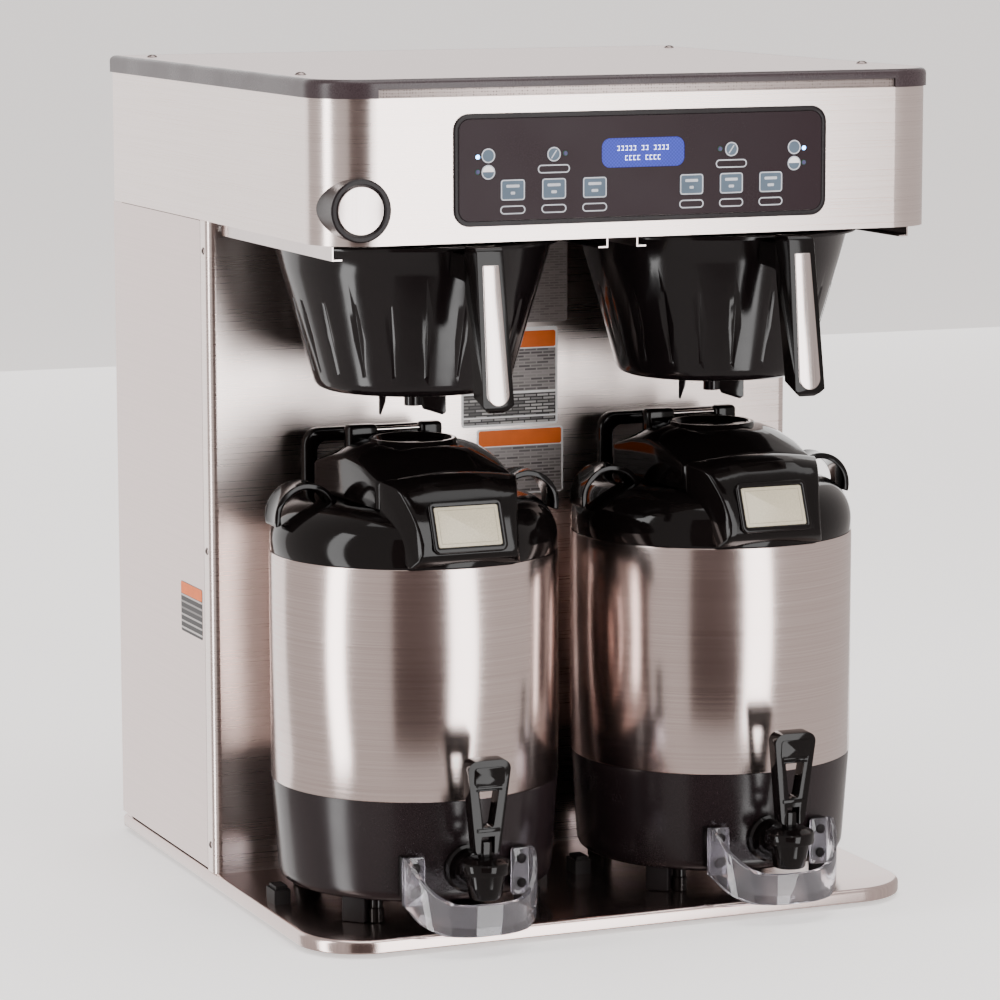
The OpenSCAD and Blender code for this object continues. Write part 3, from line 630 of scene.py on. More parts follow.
@dataclass
class Cabinet:
    """The steel cabinet: deck, tower, hood, top cover and what is fixed to them."""

    hood_half: float = 265.0
    front: float = -254.5
    rear: float = 282.5
    hood_top: float = 677.5
    deck_half: float = 266.4
    deck_front: float = -233.5

    def build(self) -> None:
        """Builds and dresses the cabinet."""
        self.deck()
        self.cover()
        self.screws()
        self.badge()
        self.labels()
        self.plain_sheets()

    def plan(self, half: float, front: float, rear: float, radius: float) -> bpy.types.Object:
        """A flat plan with its two front corners rounded."""
        obj = Bench.rounded(2 * half, rear - front, 0.0)
        Bench.put(obj, y=(front + rear) / 2)
        Bench.round_corners(obj, radius, 20, lambda at, _: at.y < 0)
        return obj

    def deck(self) -> None:
        """The deck: a slab with a rolled rim, hollow from below."""
        obj = Bench.raise_up(self.plan(self.deck_half, self.deck_front, self.rear, 54.0), 13.5)
        Bench.pick(obj, Part.FACE, lambda at, way: way.z < -0.9)
        bpy.ops.mesh.inset(thickness=5.0, depth=0.0)
        bpy.ops.transform.translate(value=(0.0, 0.0, 11.0))
        Bench.soften(obj, 4.2, 5)
        Bench.put(obj, z=1.5)
        Bench.hand_over(obj, "deck_plate", Placing("cabinet", "deck_steel", DECK_SHEET, ("base_deck",)))

    def cover(self) -> None:
        """The top cover: a steel sheet in a dark rolled edge, with the perforated strip under its front."""
        edge = Bench.raise_up(self.plan(self.hood_half + 2, self.front - 2, self.rear + 1.5, 45.0), 14.5)
        Bench.put(edge, z=self.hood_top)
        Bench.pick(edge, Part.EDGE, lambda at, _: at.z > self.hood_top + 14.4)
        bpy.ops.mesh.bevel(offset=4.8, segments=6, affect="EDGES")
        middle = Bench.raise_up(self.plan(self.hood_half - 3, self.front + 3, self.rear - 3.5, 40.0), 40.0)
        Bench.cut(edge, Bench.put(middle, z=self.hood_top - 10))
        Bench.cut(edge, Bench.box((442.6, 20.0, 8.2), (0.0, self.front, self.hood_top + 3.0)))
        Bench.hand_over(edge, "top_cover_edge", Placing("cabinet", "black_gloss", EDGE_COAT, ("top_cover",)),
            45.0)
        sheet = Bench.raise_up(self.plan(self.hood_half - 2.95, self.front + 2.95, self.rear - 3.45, 40.05),
            1.5)
        Bench.put(sheet, z=self.hood_top + 12.95)
        Bench.hand_over(sheet, "top_cover_sheet", Placing("cabinet", "cabinet_steel", TOP_SHEET))
        strip = Bench.box((442.0, 1.2, 7.1), (0.0, self.front + 1.0, self.hood_top + 3.55))
        Bench.soften(strip, 0.3, 2)
        Bench.hand_over(strip, "perforated_strip", Placing("cabinet", "inner_steel", VENT, ("vent_strip",)))

    def screws(self) -> None:
        """Pan-head screws with a cross recess: four on the cover and three down each seam."""
        spots = [(x, y, self.hood_top + 14.5, 0.0, 0.0, 4.6) for x in (-246.0, 246.0) for y in (-150.0,
            228.0)]
        spots += [(s * 265.3, 35.8, z, 90.0, s * 90.0, 3.4) for s in (-1.0, 1.0) for z in (38.5, 289.0,
            540.0)]
        for i, (x, y, z, tilt, spin, radius) in enumerate(spots):
            head = Bench.turned([(radius, 0.0), (radius, 0.3), (radius * 0.86, 0.95 * radius / 4.6 * 1.2),
                (radius * 0.55, 2.0 * radius / 4.6), (radius * 0.2, 2.2 * radius / 4.6)], 24, start_cap=True,
                end_cap=True)
            for turn in (45.0, 135.0):
                bar = Bench.box((radius * 1.1, radius * 0.24, 3.0), (0.0, 0.0, 1.5 + 1.1 * radius / 4.6))
                Bench.cut(head, Bench.put(bar, spin=turn))
            Bench.put(head, x, y, z, tilt=tilt, spin=spin)
            nodes = ("cover_screws",) if i == 0 else ()
            Bench.hand_over(head, f"pan_screw_{i + 1}", Placing("cabinet", "inner_steel", SCREW_STEEL, nodes))

    def badge(self) -> None:
        """A blank round badge: a short barrel that grows out of the corner, a dark ring and a plain dished disc."""
        x, z, face = -238.0, 593.0, -262.5
        barrel = Bench.turned([(24.0, -46.0), (24.0, -4.5), (24.4, -3.0), (24.4, -1.2), (23.2, 0.0),
            (20.6, 0.0), (19.4, -1.4),
            (19.4, -3.0)], 96, start_cap=True, end_cap=True)
        Bench.put(barrel, x, face, z, tilt=90.0)
        plan = Bench.raise_up(self.plan(self.hood_half - 0.1, self.front + 0.1, self.rear, 43.0), 120.0)
        Bench.cut(barrel, Bench.put(plan, z=560.0))
        Bench.hand_over(barrel, "badge_barrel", Placing("cabinet", "black_gloss", DARK_TRIM,
            ("corner_badge",)))
        plate = Bench.turned([(19.0, -2.8), (19.0, -1.6), (18.2, -1.0), (12.0, -1.7), (4.0, -2.1),
            (0.5, -2.15)], 96, end_cap=True)
        Bench.put(plate, x, face, z, tilt=90.0)
        Bench.hand_over(plate, "badge_disc", Placing("cabinet", "inner_steel", POLISHED))

    def labels(self) -> None:
        """Blank labels: bands and rows of marks with no wording."""
        wall = 24.8
        jobs = [("data_plate", 8.0, 506.0, 98.0, 72.0, 3.0, 0.25, PLATE_GREY),
            ("label_upper_card", 3.4, 424.0, 89.0, 84.0, 3.0, 0.2, WHITE_PRINT),
            ("label_upper_band", 3.4, 455.6, 85.0, 14.0, 2.0, 0.3, ORANGE),
            ("label_upper_text", 3.4, 429.5, 85.0, 36.0, 0.6, 0.3, LABEL_GREY),
            ("label_upper_dark", 3.4, 400.0, 85.0, 19.0, 0.6, 0.3, LABEL_DARK),
            ("label_upper_foot", 3.4, 386.5, 85.0, 5.0, 0.6, 0.3, LABEL_DARK),
            ("label_lower_card", 13.0, 351.5, 80.0, 57.0, 3.0, 0.2, WHITE_PRINT),
            ("label_lower_band", 13.0, 371.8, 76.5, 13.5, 2.0, 0.3, ORANGE),
            ("label_lower_text", 13.0, 344.2, 76.5, 40.0, 0.8, 0.3, LABEL_GREY)]
        for name, x, z, width, height, radius, thick, finish in jobs:
            obj = Bench.raise_up(Bench.rounded(width, height, radius, 5), thick)
            Bench.put(obj, x, wall, z, tilt=90.0)
            nodes = ("info_labels",) if name == "data_plate" else ()
            Bench.hand_over(obj, name, Placing("cabinet", "label_film", finish, nodes))
        for name, z, height, thick, finish in (("side_label_card", 232.5, 43.0, 0.2, LABEL_DARK),
            ("side_label_band", 248.5, 10.0, 0.3, ORANGE)):
            obj = Bench.raise_up(Bench.rounded(56.0, height, 2.0, 5), thick)
            Bench.put(obj, -265.8, 78.0, z, tilt=90.0, spin=-90.0)
            Bench.hand_over(obj, name, Placing("cabinet", "label_film", finish))

    def plain_sheets(self) -> None:
        """Gives the carried-over cabinet nodes their finishes."""
        finishes = {"trunk_front": CABINET, "side_panel_left": SIDE_SHEET, "side_panel_right": SIDE_SHEET,
            "rear_panel": SIDE_SHEET,
            "hood_shell": CABINET, "hood_underside": PLAIN_STEEL, "deck_feet": RUBBER,
            "server_guides": MATT_BLACK,
            "control_overlay": PANEL_FILM, "lcd_module": BLUE_WINDOW, "control_board": GREEN_BOARD,
            "water_tank": PLAIN_STEEL,
            "heating_elements": ELEMENT, "spray_units": PLAIN_STEEL, "funnel_rails": POLISHED,
            "inlet_valve": BRASS, "cord_gland": MATT_BLACK}
        for name, finish in finishes.items():
            dress_node(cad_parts[name], finish)


# ---------- Controls ----------


@dataclass
class ControlPanel:
    """The control film's trim, window, keys, prints and lamps."""

    face: float = -255.7
    key_face: float = -256.0
    middle_z: float = 620.9
    key_pitch: float = 34.6
    group_x: float = 76.2
    batch_x: float = 131.3

    def build(self) -> None:
        """Builds and dresses the panel."""
        self.trim()
        self.keys()
        self.window()
        self.lamps()

    def on_face(self, obj: bpy.types.Object, x: float, z: float, y: float) -> bpy.types.Object:
        """Stands a shape drawn flat upright on the panel, facing the front."""
        return Bench.put(obj, x, y, z, tilt=90.0)

    def trim(self) -> None:
        """A raised dark frame round the film."""
        obj = ring_of(319.4, 87.0, 13.0, 4.2, 1.6)
        Bench.soften(obj, 0.7, 3)
        self.on_face(obj, 0.0, self.middle_z, -254.5)
        Bench.hand_over(obj, "panel_trim", Placing("cabinet", "black_matte", DARK_TRIM, ("control_bezel",)))

    def print_ring(self, name: str, body: str, x: float, z: float, width: float, height: float, radius: float,
                   y: float) -> None:
        """A thin printed outline."""
        obj = ring_of(width, height, radius, 0.9, 0.12)
        self.on_face(obj, x, z, y)
        Bench.hand_over(obj, name, Placing(body, "key_blue", KEY_PRINT))

    def mark(self, name: str, body: str, x: float, z: float, width: float, height: float) -> None:
        """A small printed bar."""
        obj = Bench.raise_up(Bench.rounded(width, height, min(width, height) * 0.3, 3), 0.1)
        self.on_face(obj, x, z, self.key_face)
        Bench.hand_over(obj, name, Placing(body, "key_blue", KEY_PRINT))

    def keys(self) -> None:
        """Outlines and blank marks on the keys, and the pill shapes beside them."""
        for side, s in (("left", -1.0), ("right", 1.0)):
            for i in (1, 2, 3):
                body = f"brew_key_{side}_{i}"
                x = s * self.group_x + (i - 2) * self.key_pitch
                self.print_ring(f"{body}_outline", body, x, 605.0, 20.0, 16.0, 2.4, self.key_face)
                self.mark(f"{body}_upper_mark", body, x, 608.0, 11.0, 2.2)
                self.mark(f"{body}_lower_mark", body, x, 602.6, 2.6 + i, 2.2)
                self.print_ring(f"{body}_pill", "cabinet", x, 589.6, 21.0, 6.6, 3.2, self.face)
            self.print_ring(f"enable_key_{side}_outline", f"enable_key_{side}", s * self.group_x, 631.7, 11.2,
                11.2, 5.5, self.key_face)
            bar = Bench.raise_up(Bench.rounded(0.9, 7.6, 0.3, 3), 0.1)
            Bench.put(bar, spin=-35.0)
            self.on_face(bar, s * self.group_x, 631.7, self.key_face)
            Bench.hand_over(bar, f"enable_key_{side}_stroke",
                Placing(f"enable_key_{side}", "key_blue", KEY_PRINT))
            self.print_ring(f"enable_pill_{side}", "cabinet", s * self.group_x, 620.4, 27.0, 6.6, 3.2,
                self.face)
            for kind, z in (("full", 631.9), ("half", 619.2)):
                body = f"{kind}_batch_key_{side}"
                self.print_ring(f"{body}_outline", body, s * self.batch_x, z, 11.2, 11.2, 5.5, self.key_face)
            half = Bench.raise_up(Bench.outline(arc((0.0, 0.0), 4.8, 0.0, 180.0, 20)), 0.1)
            self.on_face(half, s * self.batch_x, 619.4, self.key_face)
            Bench.hand_over(half, f"half_batch_key_{side}_field",
                Placing(f"half_batch_key_{side}", "key_blue", WHITE_PRINT))
        for name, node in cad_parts.items():
            if "_key_" in name:
                dress_node(node, KEY_CAP)

    def window(self) -> None:
        """Two rows of lit cells in the blue window, in a pattern that spells nothing."""
        shape = None
        for row, (z, runs) in enumerate(((634.8, (5, 2, 4)), (627.2, (4, 4)))):
            total = sum(runs) + len(runs) - 1
            x = -total * 3.5 / 2
            for run in runs:
                for _ in range(run):
                    for dx, dz, w, h in ((0.3, 1.6, 2.2, 0.5), (0.3, -1.6, 2.2, 0.5),
                        (0.3 if row else 1.8, 0.0, 0.5, 3.6)):
                        cell = Bench.raise_up(Bench.rounded(w, h, 0.0), 0.05)
                        Bench.put(cell, x + dx + w / 2, z + dz, 0.0)
                        shape = cell if shape is None else Bench.join(shape, cell)
                    x += 3.5
                x += 3.5
        self.on_face(shape, 0.0, 0.0, -255.5)
        Bench.hand_over(shape, "window_cells", Placing("cabinet", "lcd_blue", PIXELS))

    def lamps(self) -> None:
        """Small domed lamps: the two outer upper ones are lit."""
        for side, s in (("left", -1.0), ("right", 1.0)):
            for kind, x, z, finish in (("full", 140.0, 631.1, BLUE_LAMP), ("half", 140.0, 619.6, DIM_LAMP),
                ("enable", 66.4, 632.2, DIM_LAMP)):
                dome = Bench.turned([(1.7, 0.0), (1.7, 0.15), (1.2, 0.45), (0.5, 0.6)], 20, start_cap=True,
                    end_cap=True)
                self.on_face(dome, s * x, z, -255.8)
                Bench.hand_over(dome, f"{kind}_lamp_{side}", Placing("cabinet", "lcd_blue", finish))


# ---------- Funnels ----------


@dataclass
class Funnels:
    """The two brew funnels with their grips."""

    flange_z: float = 555.3
    foot_z: float = 446.0
    foot_r: float = 81.0
    top_r: float = 112.5

    def build(self) -> None:
        """Builds both funnels."""
        self.shell()
        self.fins()
        self.grip()
        self.inlay()

    def wall_radius(self, z: float) -> float:
        """The wall's radius at a height."""
        return self.foot_r + (z - self.foot_z) / (self.flange_z - self.foot_z) * (self.top_r - self.foot_r)

    def shell(self) -> None:
        """The conical shell, with fine grooves pressed into the lower half of its wall."""
        outside = [(4.6, 421.0), (7.0, 421.0), (7.0, 430.6), (30.0, 432.6), (66.0, 435.6), (72.0, 436.5),
            (77.0, 438.6), (79.8, 442.0), (81.0, 446.0)]
        outside += [(self.wall_radius(z), z) for z in (452.0, 482.0, 512.0, 535.0, 555.3)]
        outside += [(119.0, 555.3), (119.0, 558.4)]
        inside = [(self.wall_radius(z) - 2.6, z) for z in (558.4, 512.0, 446.0)] + [(74.0, 441.5),
            (66.0, 438.4), (30.0, 435.2), (4.6, 433.2)]
        obj = Bench.turned(outside + inside, 144, closed=True)

        def groove(at: Vector, way: Vector) -> bool:
            """Whether a face of the outer wall lies in one of the grooves' columns."""
            radius = math.hypot(at.x, at.y)
            outer = abs(radius - self.wall_radius(at.z)) < 1.2 and at.x * way.x + at.y * way.y > 0
            column = int(math.degrees(math.atan2(at.y, at.x)) // 2.5)
            return outer and 452.0 < at.z < 512.0 and column % 7 == 0

        Bench.pick(obj, Part.FACE, groove)
        bpy.ops.mesh.inset(thickness=1.6, depth=-1.1)
        Bench.soften(obj, 0.7, 2, 40.0)
        Bench.to_both(obj, "funnel_cone", "funnel", "black_gloss", FUNNEL_BLACK, "funnel_shell", 38.0)

    def fins(self) -> None:
        """The two fins under the cone that keep the nozzle off the counter."""
        broad = Bench.raise_up(Bench.outline([(6.0, 423.0), (8.0, 418.0), (24.0, 413.0), (27.0, 415.0),
            (27.0, 433.0), (6.0, 432.0)]), 2.4)
        narrow = Bench.raise_up(Bench.outline([(21.0, 432.2), (22.0, 424.0), (26.0, 413.0), (27.5, 414.0),
            (27.5, 433.0)]), 2.4)
        for obj, name, spin in ((broad, "broad_fin", -20.0), (narrow, "narrow_fin", 160.0)):
            Bench.soften(obj, 0.6, 2)
            Bench.put(obj, z=-1.2)
            Bench.put(obj, tilt=90.0, spin=spin)
            Bench.to_both(obj, name, "funnel", "black_gloss", FUNNEL_BLACK)

    def grip(self) -> None:
        """The grip: its side view thickened across, drawn in towards the top and rounded."""
        side = [(-162.0, 561.5), (-164.4, 559.0), (-182.1, 441.0), (-181.0, 437.5), (-178.0, 435.0),
            (-174.0, 434.5), (-169.0, 436.5),
            (-163.0, 446.0), (-158.0, 470.0), (-148.0, 526.0), (-145.0, 531.0), (-138.0, 534.0),
            (-109.0, 536.0), (-113.0, 554.8), (-139.0, 554.8),
            (-140.0, 556.0), (-140.0, 561.5)]
        obj = Bench.raise_up(Bench.outline(side), 27.0)
        Bench.put(obj, z=-13.5)
        Bench.put(obj, tilt=90.0, spin=90.0)
        for low, high, share in ((530.0, 600.0, 0.84), (465.0, 500.0, 0.94), (434.0, 436.6, 0.45),
            (436.6, 440.0, 0.72)):
            if Bench.pick(obj, Part.POINT, lambda at, _, low=low, high=high: low <= at.z < high):
                bpy.ops.transform.resize(value=(share, 1.0, 1.0), center_override=(0.0, 0.0, 0.0))
        Bench.soften(obj, 3.2, 4, 28.0)
        Bench.to_both(obj, "funnel_grip", "funnel", "black_gloss", GLOSS_BLACK, "funnel_handle", 40.0)

    def inlay(self) -> None:
        """The polished inlay with a round foot."""
        foot = [(9.4 * math.cos(a), 450.0 - 9.4 * math.sin(a)) for a in (math.pi * i / 16 for i in range(17))]
        obj = Bench.outline([*foot, (-6.8, 549.5), (6.8, 549.5)])
        Bench.put(obj, y=-437.0)
        Bench.raise_up(obj, 1.5)
        Bench.soften(obj, 0.8, 3)
        Bench.put(obj, y=-182.75 + 0.62, z=437.0, tilt=90.0 - math.degrees(math.atan(0.15)))
        Bench.to_both(obj, "grip_inlay", "funnel", "server_steel", POLISHED, "funnel_inlay", 50.0)


# ---------- Servers ----------


@dataclass
class Servers:
    """The two insulated servers, each drawn about its own axis."""

    radius: float = 118.0
    steel_low: float = 117.5
    steel_high: float = 304.5
    ledge: float = 348.0
    crown_r: float = 347.0
    crown_top: float = 385.0
    hinge_y: float = 80.0
    hinge_z: float = 352.0
    faucet_y: float = -152.2

    def build(self) -> None:
        """Builds both servers."""
        self.tube()
        self.skirt()
        self.shoulder()
        self.ears()
        self.rear_arch()
        self.visor()
        self.screen()
        self.lid()
        self.faucet()
        self.lever()
        self.guard()
        for side in SIDES:
            dress_node(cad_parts[f"liner_{side}"], PLAIN_STEEL)

    def tube(self) -> None:
        """The steel tube with its two rolled edges."""
        r, lo, hi = self.radius, self.steel_low, self.steel_high
        obj = Bench.turned([(r - 1.2, lo), (r - 0.5, lo), (r, lo + 0.7), (r, hi - 0.7), (r - 0.5, hi),
            (r - 1.2, hi)], 180, closed=True)
        Bench.to_both(obj, "steel_tube", "server", "server_steel", SERVER_TUBE, "steel_body", 50.0)

    def skirt(self) -> None:
        """The black skirt, its foot blocks, the faucet's boss and the guard's two pads."""
        r = self.radius
        body = Bench.turned([(104.0, 34.0), (107.5, 34.4), (110.6, 36.6), (112.2, 40.5), (112.6, 44.0),
            (r - 0.5, self.steel_low - 1.2),
            (r - 0.8, self.steel_low - 0.3), (r - 2.0, self.steel_low - 0.2), (r - 2.0, self.steel_low + 6.0),
            (r - 4.0, self.steel_low + 6.0),
            (109.5, 43.0), (104.5, 37.2)], 180, start_cap=True, end_cap=True)
        Bench.to_both(body, "skirt_shell", "server", "black_gloss", GLOSS_SKIRT, "base_skirt", 40.0)
        for i in range(4):
            foot = Bench.box((15.0, 20.0, 20.7), (101.5, -7.0, 25.65))
            Bench.soften(foot, 1.4, 3)
            Bench.put(foot, spin=45.0 + 90.0 * i)
            Bench.to_both(foot, f"foot_block_{i + 1}", "server", "black_gloss", MATT_BLACK)
            leg = Bench.turned([(5.6, 15.4), (6.4, 16.2), (6.4, 27.0), (5.4, 28.0), (5.4, 36.0)], 32,
                start_cap=True, end_cap=True)
            Bench.put(leg, 100.0, 9.6)
            Bench.put(leg, spin=45.0 + 90.0 * i)
            Bench.to_both(leg, f"foot_leg_{i + 1}", "server", "black_gloss", GLOSS_BLACK)
        boss = Bench.turned([(19.5, 0.0), (19.5, 7.0), (17.5, 9.0), (14.0, 9.4), (13.5, 13.0), (11.0, 14.0),
            (9.0, 14.0)], 64, start_cap=True, end_cap=True)
        Bench.put(boss, y=-110.8, z=62.0, tilt=90.0)
        Bench.to_both(boss, "faucet_boss", "server", "black_gloss", GLOSS_BLACK)
        for i, s in enumerate((-1.0, 1.0)):
            pad = Bench.box((14.0, 13.9, 34.0), (s * 47.0, -106.95, 57.0))
            Bench.soften(pad, 1.2, 3)
            Bench.to_both(pad, f"guard_pad_{i + 1}", "server", "black_gloss", GLOSS_BLACK)

    def shoulder(self) -> None:
        """The collar: a straight band, an elliptical shoulder and the flat ledge round the lid's mouth."""
        r = self.radius
        profile = [(r - 3.4, 296.0), (r - 1.4, 296.0), (r - 1.4, 304.6), (r - 0.9, 304.8), (r - 0.5, 305.6),
            (r - 0.4, 314.0)]
        profile += [(85.0 + (r - 85.4) * math.cos(a),
            314.0 + 34.0 * math.sin(a)) for a in (math.radians(5.625 * i) for i in range(1, 17))]
        profile += [(62.0, self.ledge), (60.5, self.ledge - 1.2), (60.5, 330.0), (63.5, 330.0), (63.5, 344.5)]
        profile += [(85.0 + (r - 88.4) * math.cos(a),
            313.5 + 31.0 * math.sin(a)) for a in (math.radians(90.0 - 11.25 * i) for i in range(9))]
        obj = Bench.turned(profile, 180, closed=True)
        Bench.to_both(obj, "collar_shoulder", "server", "black_gloss", GLOSS_BLACK, "collar", 40.0)
        boss = Bench.turned([(5.5, -3.0), (5.5, 0.6), (4.6, 1.5), (2.0, 1.5), (1.6, 0.9), (0.5, 0.9)], 32,
            end_cap=True)
        Bench.put(boss, -52.0, -58.0, self.ledge - 0.2)
        Bench.to_both(boss, "ledge_button", "server", "black_gloss", GLOSS_BLACK)

    def ears(self) -> None:
        """The two strap-shaped carrying ears."""
        outer = arc((96.0, 336.0), 28.0, -14.0, 158.0, 26)
        inner = arc((96.0, 336.0), 22.6, 150.0, -13.0, 24)
        for name, turn in (("ear_plus_x", 0.0), ("ear_minus_x", 180.0)):
            strap = Bench.raise_up(Bench.outline([*outer, *inner]), 26.0)
            Bench.put(strap, z=-13.0)
            Bench.put(strap, tilt=90.0)
            Bench.pick(strap, Part.FACE, lambda at,
                way: math.hypot(at.x - 96.0, at.z - 336.0) > 27.0 and abs(way.y) < 0.3)
            bpy.ops.mesh.inset(thickness=3.0, depth=-0.9, use_boundary=True)
            Bench.soften(strap, 1.3, 3, 30.0)
            Bench.put(strap, spin=turn)
            Bench.to_both(strap, name, "server", "black_gloss", GLOSS_BLACK, angle=42.0)

    def rear_arch(self) -> None:
        """The rear handle: an upright plate with a window for the fingers."""
        obj = Bench.rounded(124.0, 74.0, 14.0, 8)
        Bench.put(obj, y=357.0)
        Bench.raise_up(obj, 10.0)
        hole = Bench.rounded(100.0, 34.0, 8.0, 6)
        Bench.put(hole, y=366.0, z=-5.0)
        Bench.cut(obj, Bench.raise_up(hole, 20.0))
        Bench.soften(obj, 2.2, 3)
        Bench.put(obj, y=98.0, tilt=90.0)
        core = Bench.turned([(112.0, 280.0), (112.0, 316.0), (106.0, 332.0), (96.0, 341.0), (84.0, 345.0)],
            96, start_cap=True, end_cap=True)
        Bench.cut(obj, core)
        Bench.to_both(obj, "rear_handle", "server", "black_gloss", GLOSS_BLACK, angle=40.0)
        for i, s in enumerate((-1.0, 1.0)):
            lug = Bench.turned([(4.2, 0.0), (4.2, 4.0)], 32, start_cap=True, end_cap=True)
            Bench.put(lug, s * 33.0 - 2.0, self.hinge_y, self.hinge_z, tilt=90.0, spin=90.0)
            Bench.soften(lug, 0.6, 2)
            Bench.to_both(lug, f"hinge_lug_{i + 1}", "server", "black_gloss", GLOSS_BLACK)
        pin = Bench.turned([(2.0, 0.0), (2.0, 74.0)], 24, start_cap=True, end_cap=True)
        Bench.put(pin, -37.0, self.hinge_y, self.hinge_z, tilt=90.0, spin=90.0)
        Bench.soften(pin, 0.4, 2)
        Bench.to_both(pin, "hinge_pin", "server", "black_gloss", POLISHED)

    def crown(self, x: float, y: float) -> float:
        """Height of the shallow sphere that crowns the lid and the visor."""
        return self.crown_top - self.crown_r + math.sqrt(self.crown_r**2 - x * x - y * y)

    @staticmethod
    def dome(radius: float) -> float:
        """Height of the lid's dome, which climbs to the inlet ring."""
        steps = ((30.0, 393.6), (38.0, 392.6), (46.0, 390.4), (54.0, 387.0), (62.0, 382.8), (70.0, 378.8),
            (78.0, 375.4), (86.0, 372.0), (100.0, 366.0))
        for (r0, z0), (r1, z1) in zip(steps, steps[1:]):
            if radius <= r1:
                return z0 + (z1 - z0) * max(radius - r0, 0.0) / (r1 - r0)
        return steps[-1][1]

    def visor(self) -> None:
        """The visor: its side view thickened across, drawn in towards the front and crowned at the back."""
        front = [(-75.8, 386.0), (-82.0, 384.0), (-88.0, 377.5), (-94.0, 371.0), (-100.0, 364.6),
            (-106.0, 357.6), (-111.0, 350.6), (-115.4, 343.0),
            (-119.0, 334.6), (-121.8, 326.0), (-123.4, 318.4), (-121.4, 312.6), (-114.0, 306.4),
            (-110.0, 306.0)]
        obj = Bench.raise_up(Bench.outline([*front, (-96.0, 318.0), (-84.0, 330.0), (-75.8, 338.0)]), 1.0)
        Bench.put(obj, z=-0.5)
        Bench.put(obj, tilt=90.0, spin=90.0)
        bpy.ops.object.mode_set(mode="OBJECT")
        for point in obj.data.vertices:
            share = max(0.0, min(1.0, (point.co.y + 121.0) / 45.0))
            flare = max(0.0, (324.0 - point.co.z) / 18.0)
            point.co.x = math.copysign(39.6 + 19.2 * share**0.85 + 4.0 * flare * (1 - share), point.co.x)
        Bench.pick(obj, Part.EDGE, lambda at, way: abs(way.x) > 0.9)
        bpy.ops.mesh.subdivide(number_cuts=13)
        bpy.ops.object.mode_set(mode="OBJECT")
        for point in obj.data.vertices:
            if point.co.z > 340.0:
                point.co.z = min(point.co.z, self.crown(point.co.x, point.co.y) - 0.2)
        Bench.soften(obj, 1.5, 3, 30.0)
        Bench.to_both(obj, "visor", "server", "black_gloss", GLOSS_BLACK, angle=38.0)

    def on_visor(self, obj: bpy.types.Object, out: float) -> bpy.types.Object:
        """Lays a flat shape on the display's sloping plane, so far out of it."""
        Bench.put(obj, z=out)
        return Bench.put(obj, y=-117.4, z=338.0, tilt=68.0)

    def screen(self) -> None:
        """The display: a raised frame, a cream glass and the thin line printed round it."""
        rim = ring_of(63.0, 42.0, 5.0, 4.4, 6.4)
        Bench.soften(rim, 1.2, 3)
        self.on_visor(rim, -4.0)
        Bench.to_both(rim, "screen_frame", "server", "black_gloss", GLOSS_BLACK)
        glass = Bench.raise_up(Bench.rounded(54.0, 32.8, 1.6, 4), 3.0)
        Bench.soften(glass, 0.4, 2)
        self.on_visor(glass, -1.4)
        Bench.to_both(glass, "screen_glass", "server", "display_cream", GREY_SCREEN, "display")
        line = ring_of(48.6, 27.4, 0.8, 0.35, 0.08)
        self.on_visor(line, 1.6)
        Bench.to_both(line, "screen_line", "server", "display_cream", SCREEN_LINE)

    def lid(self) -> None:
        """The crowned lid with its inlet ring, plug and hinge tongue."""
        obj = Bench.outline([(-58.0, -75.0), (58.0, -75.0), (67.0, 69.0), (-67.0, 69.0)])
        Bench.round_corners(obj, 9.0, 8, lambda at, _: at.y < 0)
        Bench.round_corners(obj, 20.0, 10, lambda at, _: at.y > 60 and abs(at.x) > 60)
        Bench.edit(obj, Part.EDGE, everything=True)
        bpy.ops.mesh.subdivide(number_cuts=3)
        Bench.edit(obj, Part.FACE)
        bpy.ops.mesh.extrude_region_move(TRANSFORM_OT_translate={"value": (0.0, 0.0, 18.0)})
        for share in (0.992, 0.972, 0.93, 0.86, 0.78, 0.7, 0.6, 0.5):
            bpy.ops.mesh.extrude_region_move(TRANSFORM_OT_translate={"value": (0.0, 0.0, 1.0)})
            bpy.ops.transform.resize(value=(share / self.last_share(share), share / self.last_share(share),
                1.0), center_override=(0.0, -3.0, 0.0))
        bpy.ops.mesh.select_all(action="SELECT")
        bpy.ops.mesh.normals_make_consistent(inside=False)
        bpy.ops.object.mode_set(mode="OBJECT")
        for point in obj.data.vertices:
            step = round(point.co.z - 18.0)
            if point.co.z >= 17.5:
                drop = (2.6, 0.9, 0.15)[step] if step < 3 else 0.0
                point.co.z = self.dome(math.hypot(point.co.x, point.co.y)) - drop
            else:
                point.co.z = self.ledge + 0.7
        Bench.to_both(obj, "lid_shell", "lid", "black_gloss", GLOSS_BLACK, "server_lid", 40.0)
        ring = Bench.turned([(44.0, 386.0), (40.4, 390.6), (37.4, 391.9), (36.2, 392.6), (35.6, 394.3),
            (34.6, 395.0), (32.4, 395.0),
            (31.2, 394.2), (30.0, 391.0), (27.6, 389.2), (22.0, 388.6), (21.0, 389.6), (19.6, 389.6),
            (18.6, 388.2), (9.0, 387.4), (6.6, 386.6),
            (6.4, 378.0)], 96, start_cap=False)
        Bench.to_both(ring, "lid_inlet_ring", "lid", "black_gloss", GLOSS_BLACK, angle=50.0)
        plug = Bench.turned([(52.0, 360.0), (52.0, 337.0), (51.0, 336.0), (49.5, 336.0), (49.5, 360.0)], 96)
        Bench.to_both(plug, "lid_plug", "lid", "black_gloss", MATT_BLACK)
        for name, low, wide in (("lid_lug_1", -43.0, 26.0), ("lid_lug_2", 21.0, 19.0)):
            lug = Bench.box((wide, 13.0, 32.0), (low + wide / 2, 40.5, 386.0))
            Bench.soften(lug, 3.6, 4)
            Bench.to_both(lug, name, "lid", "black_gloss", GLOSS_BLACK, angle=40.0)
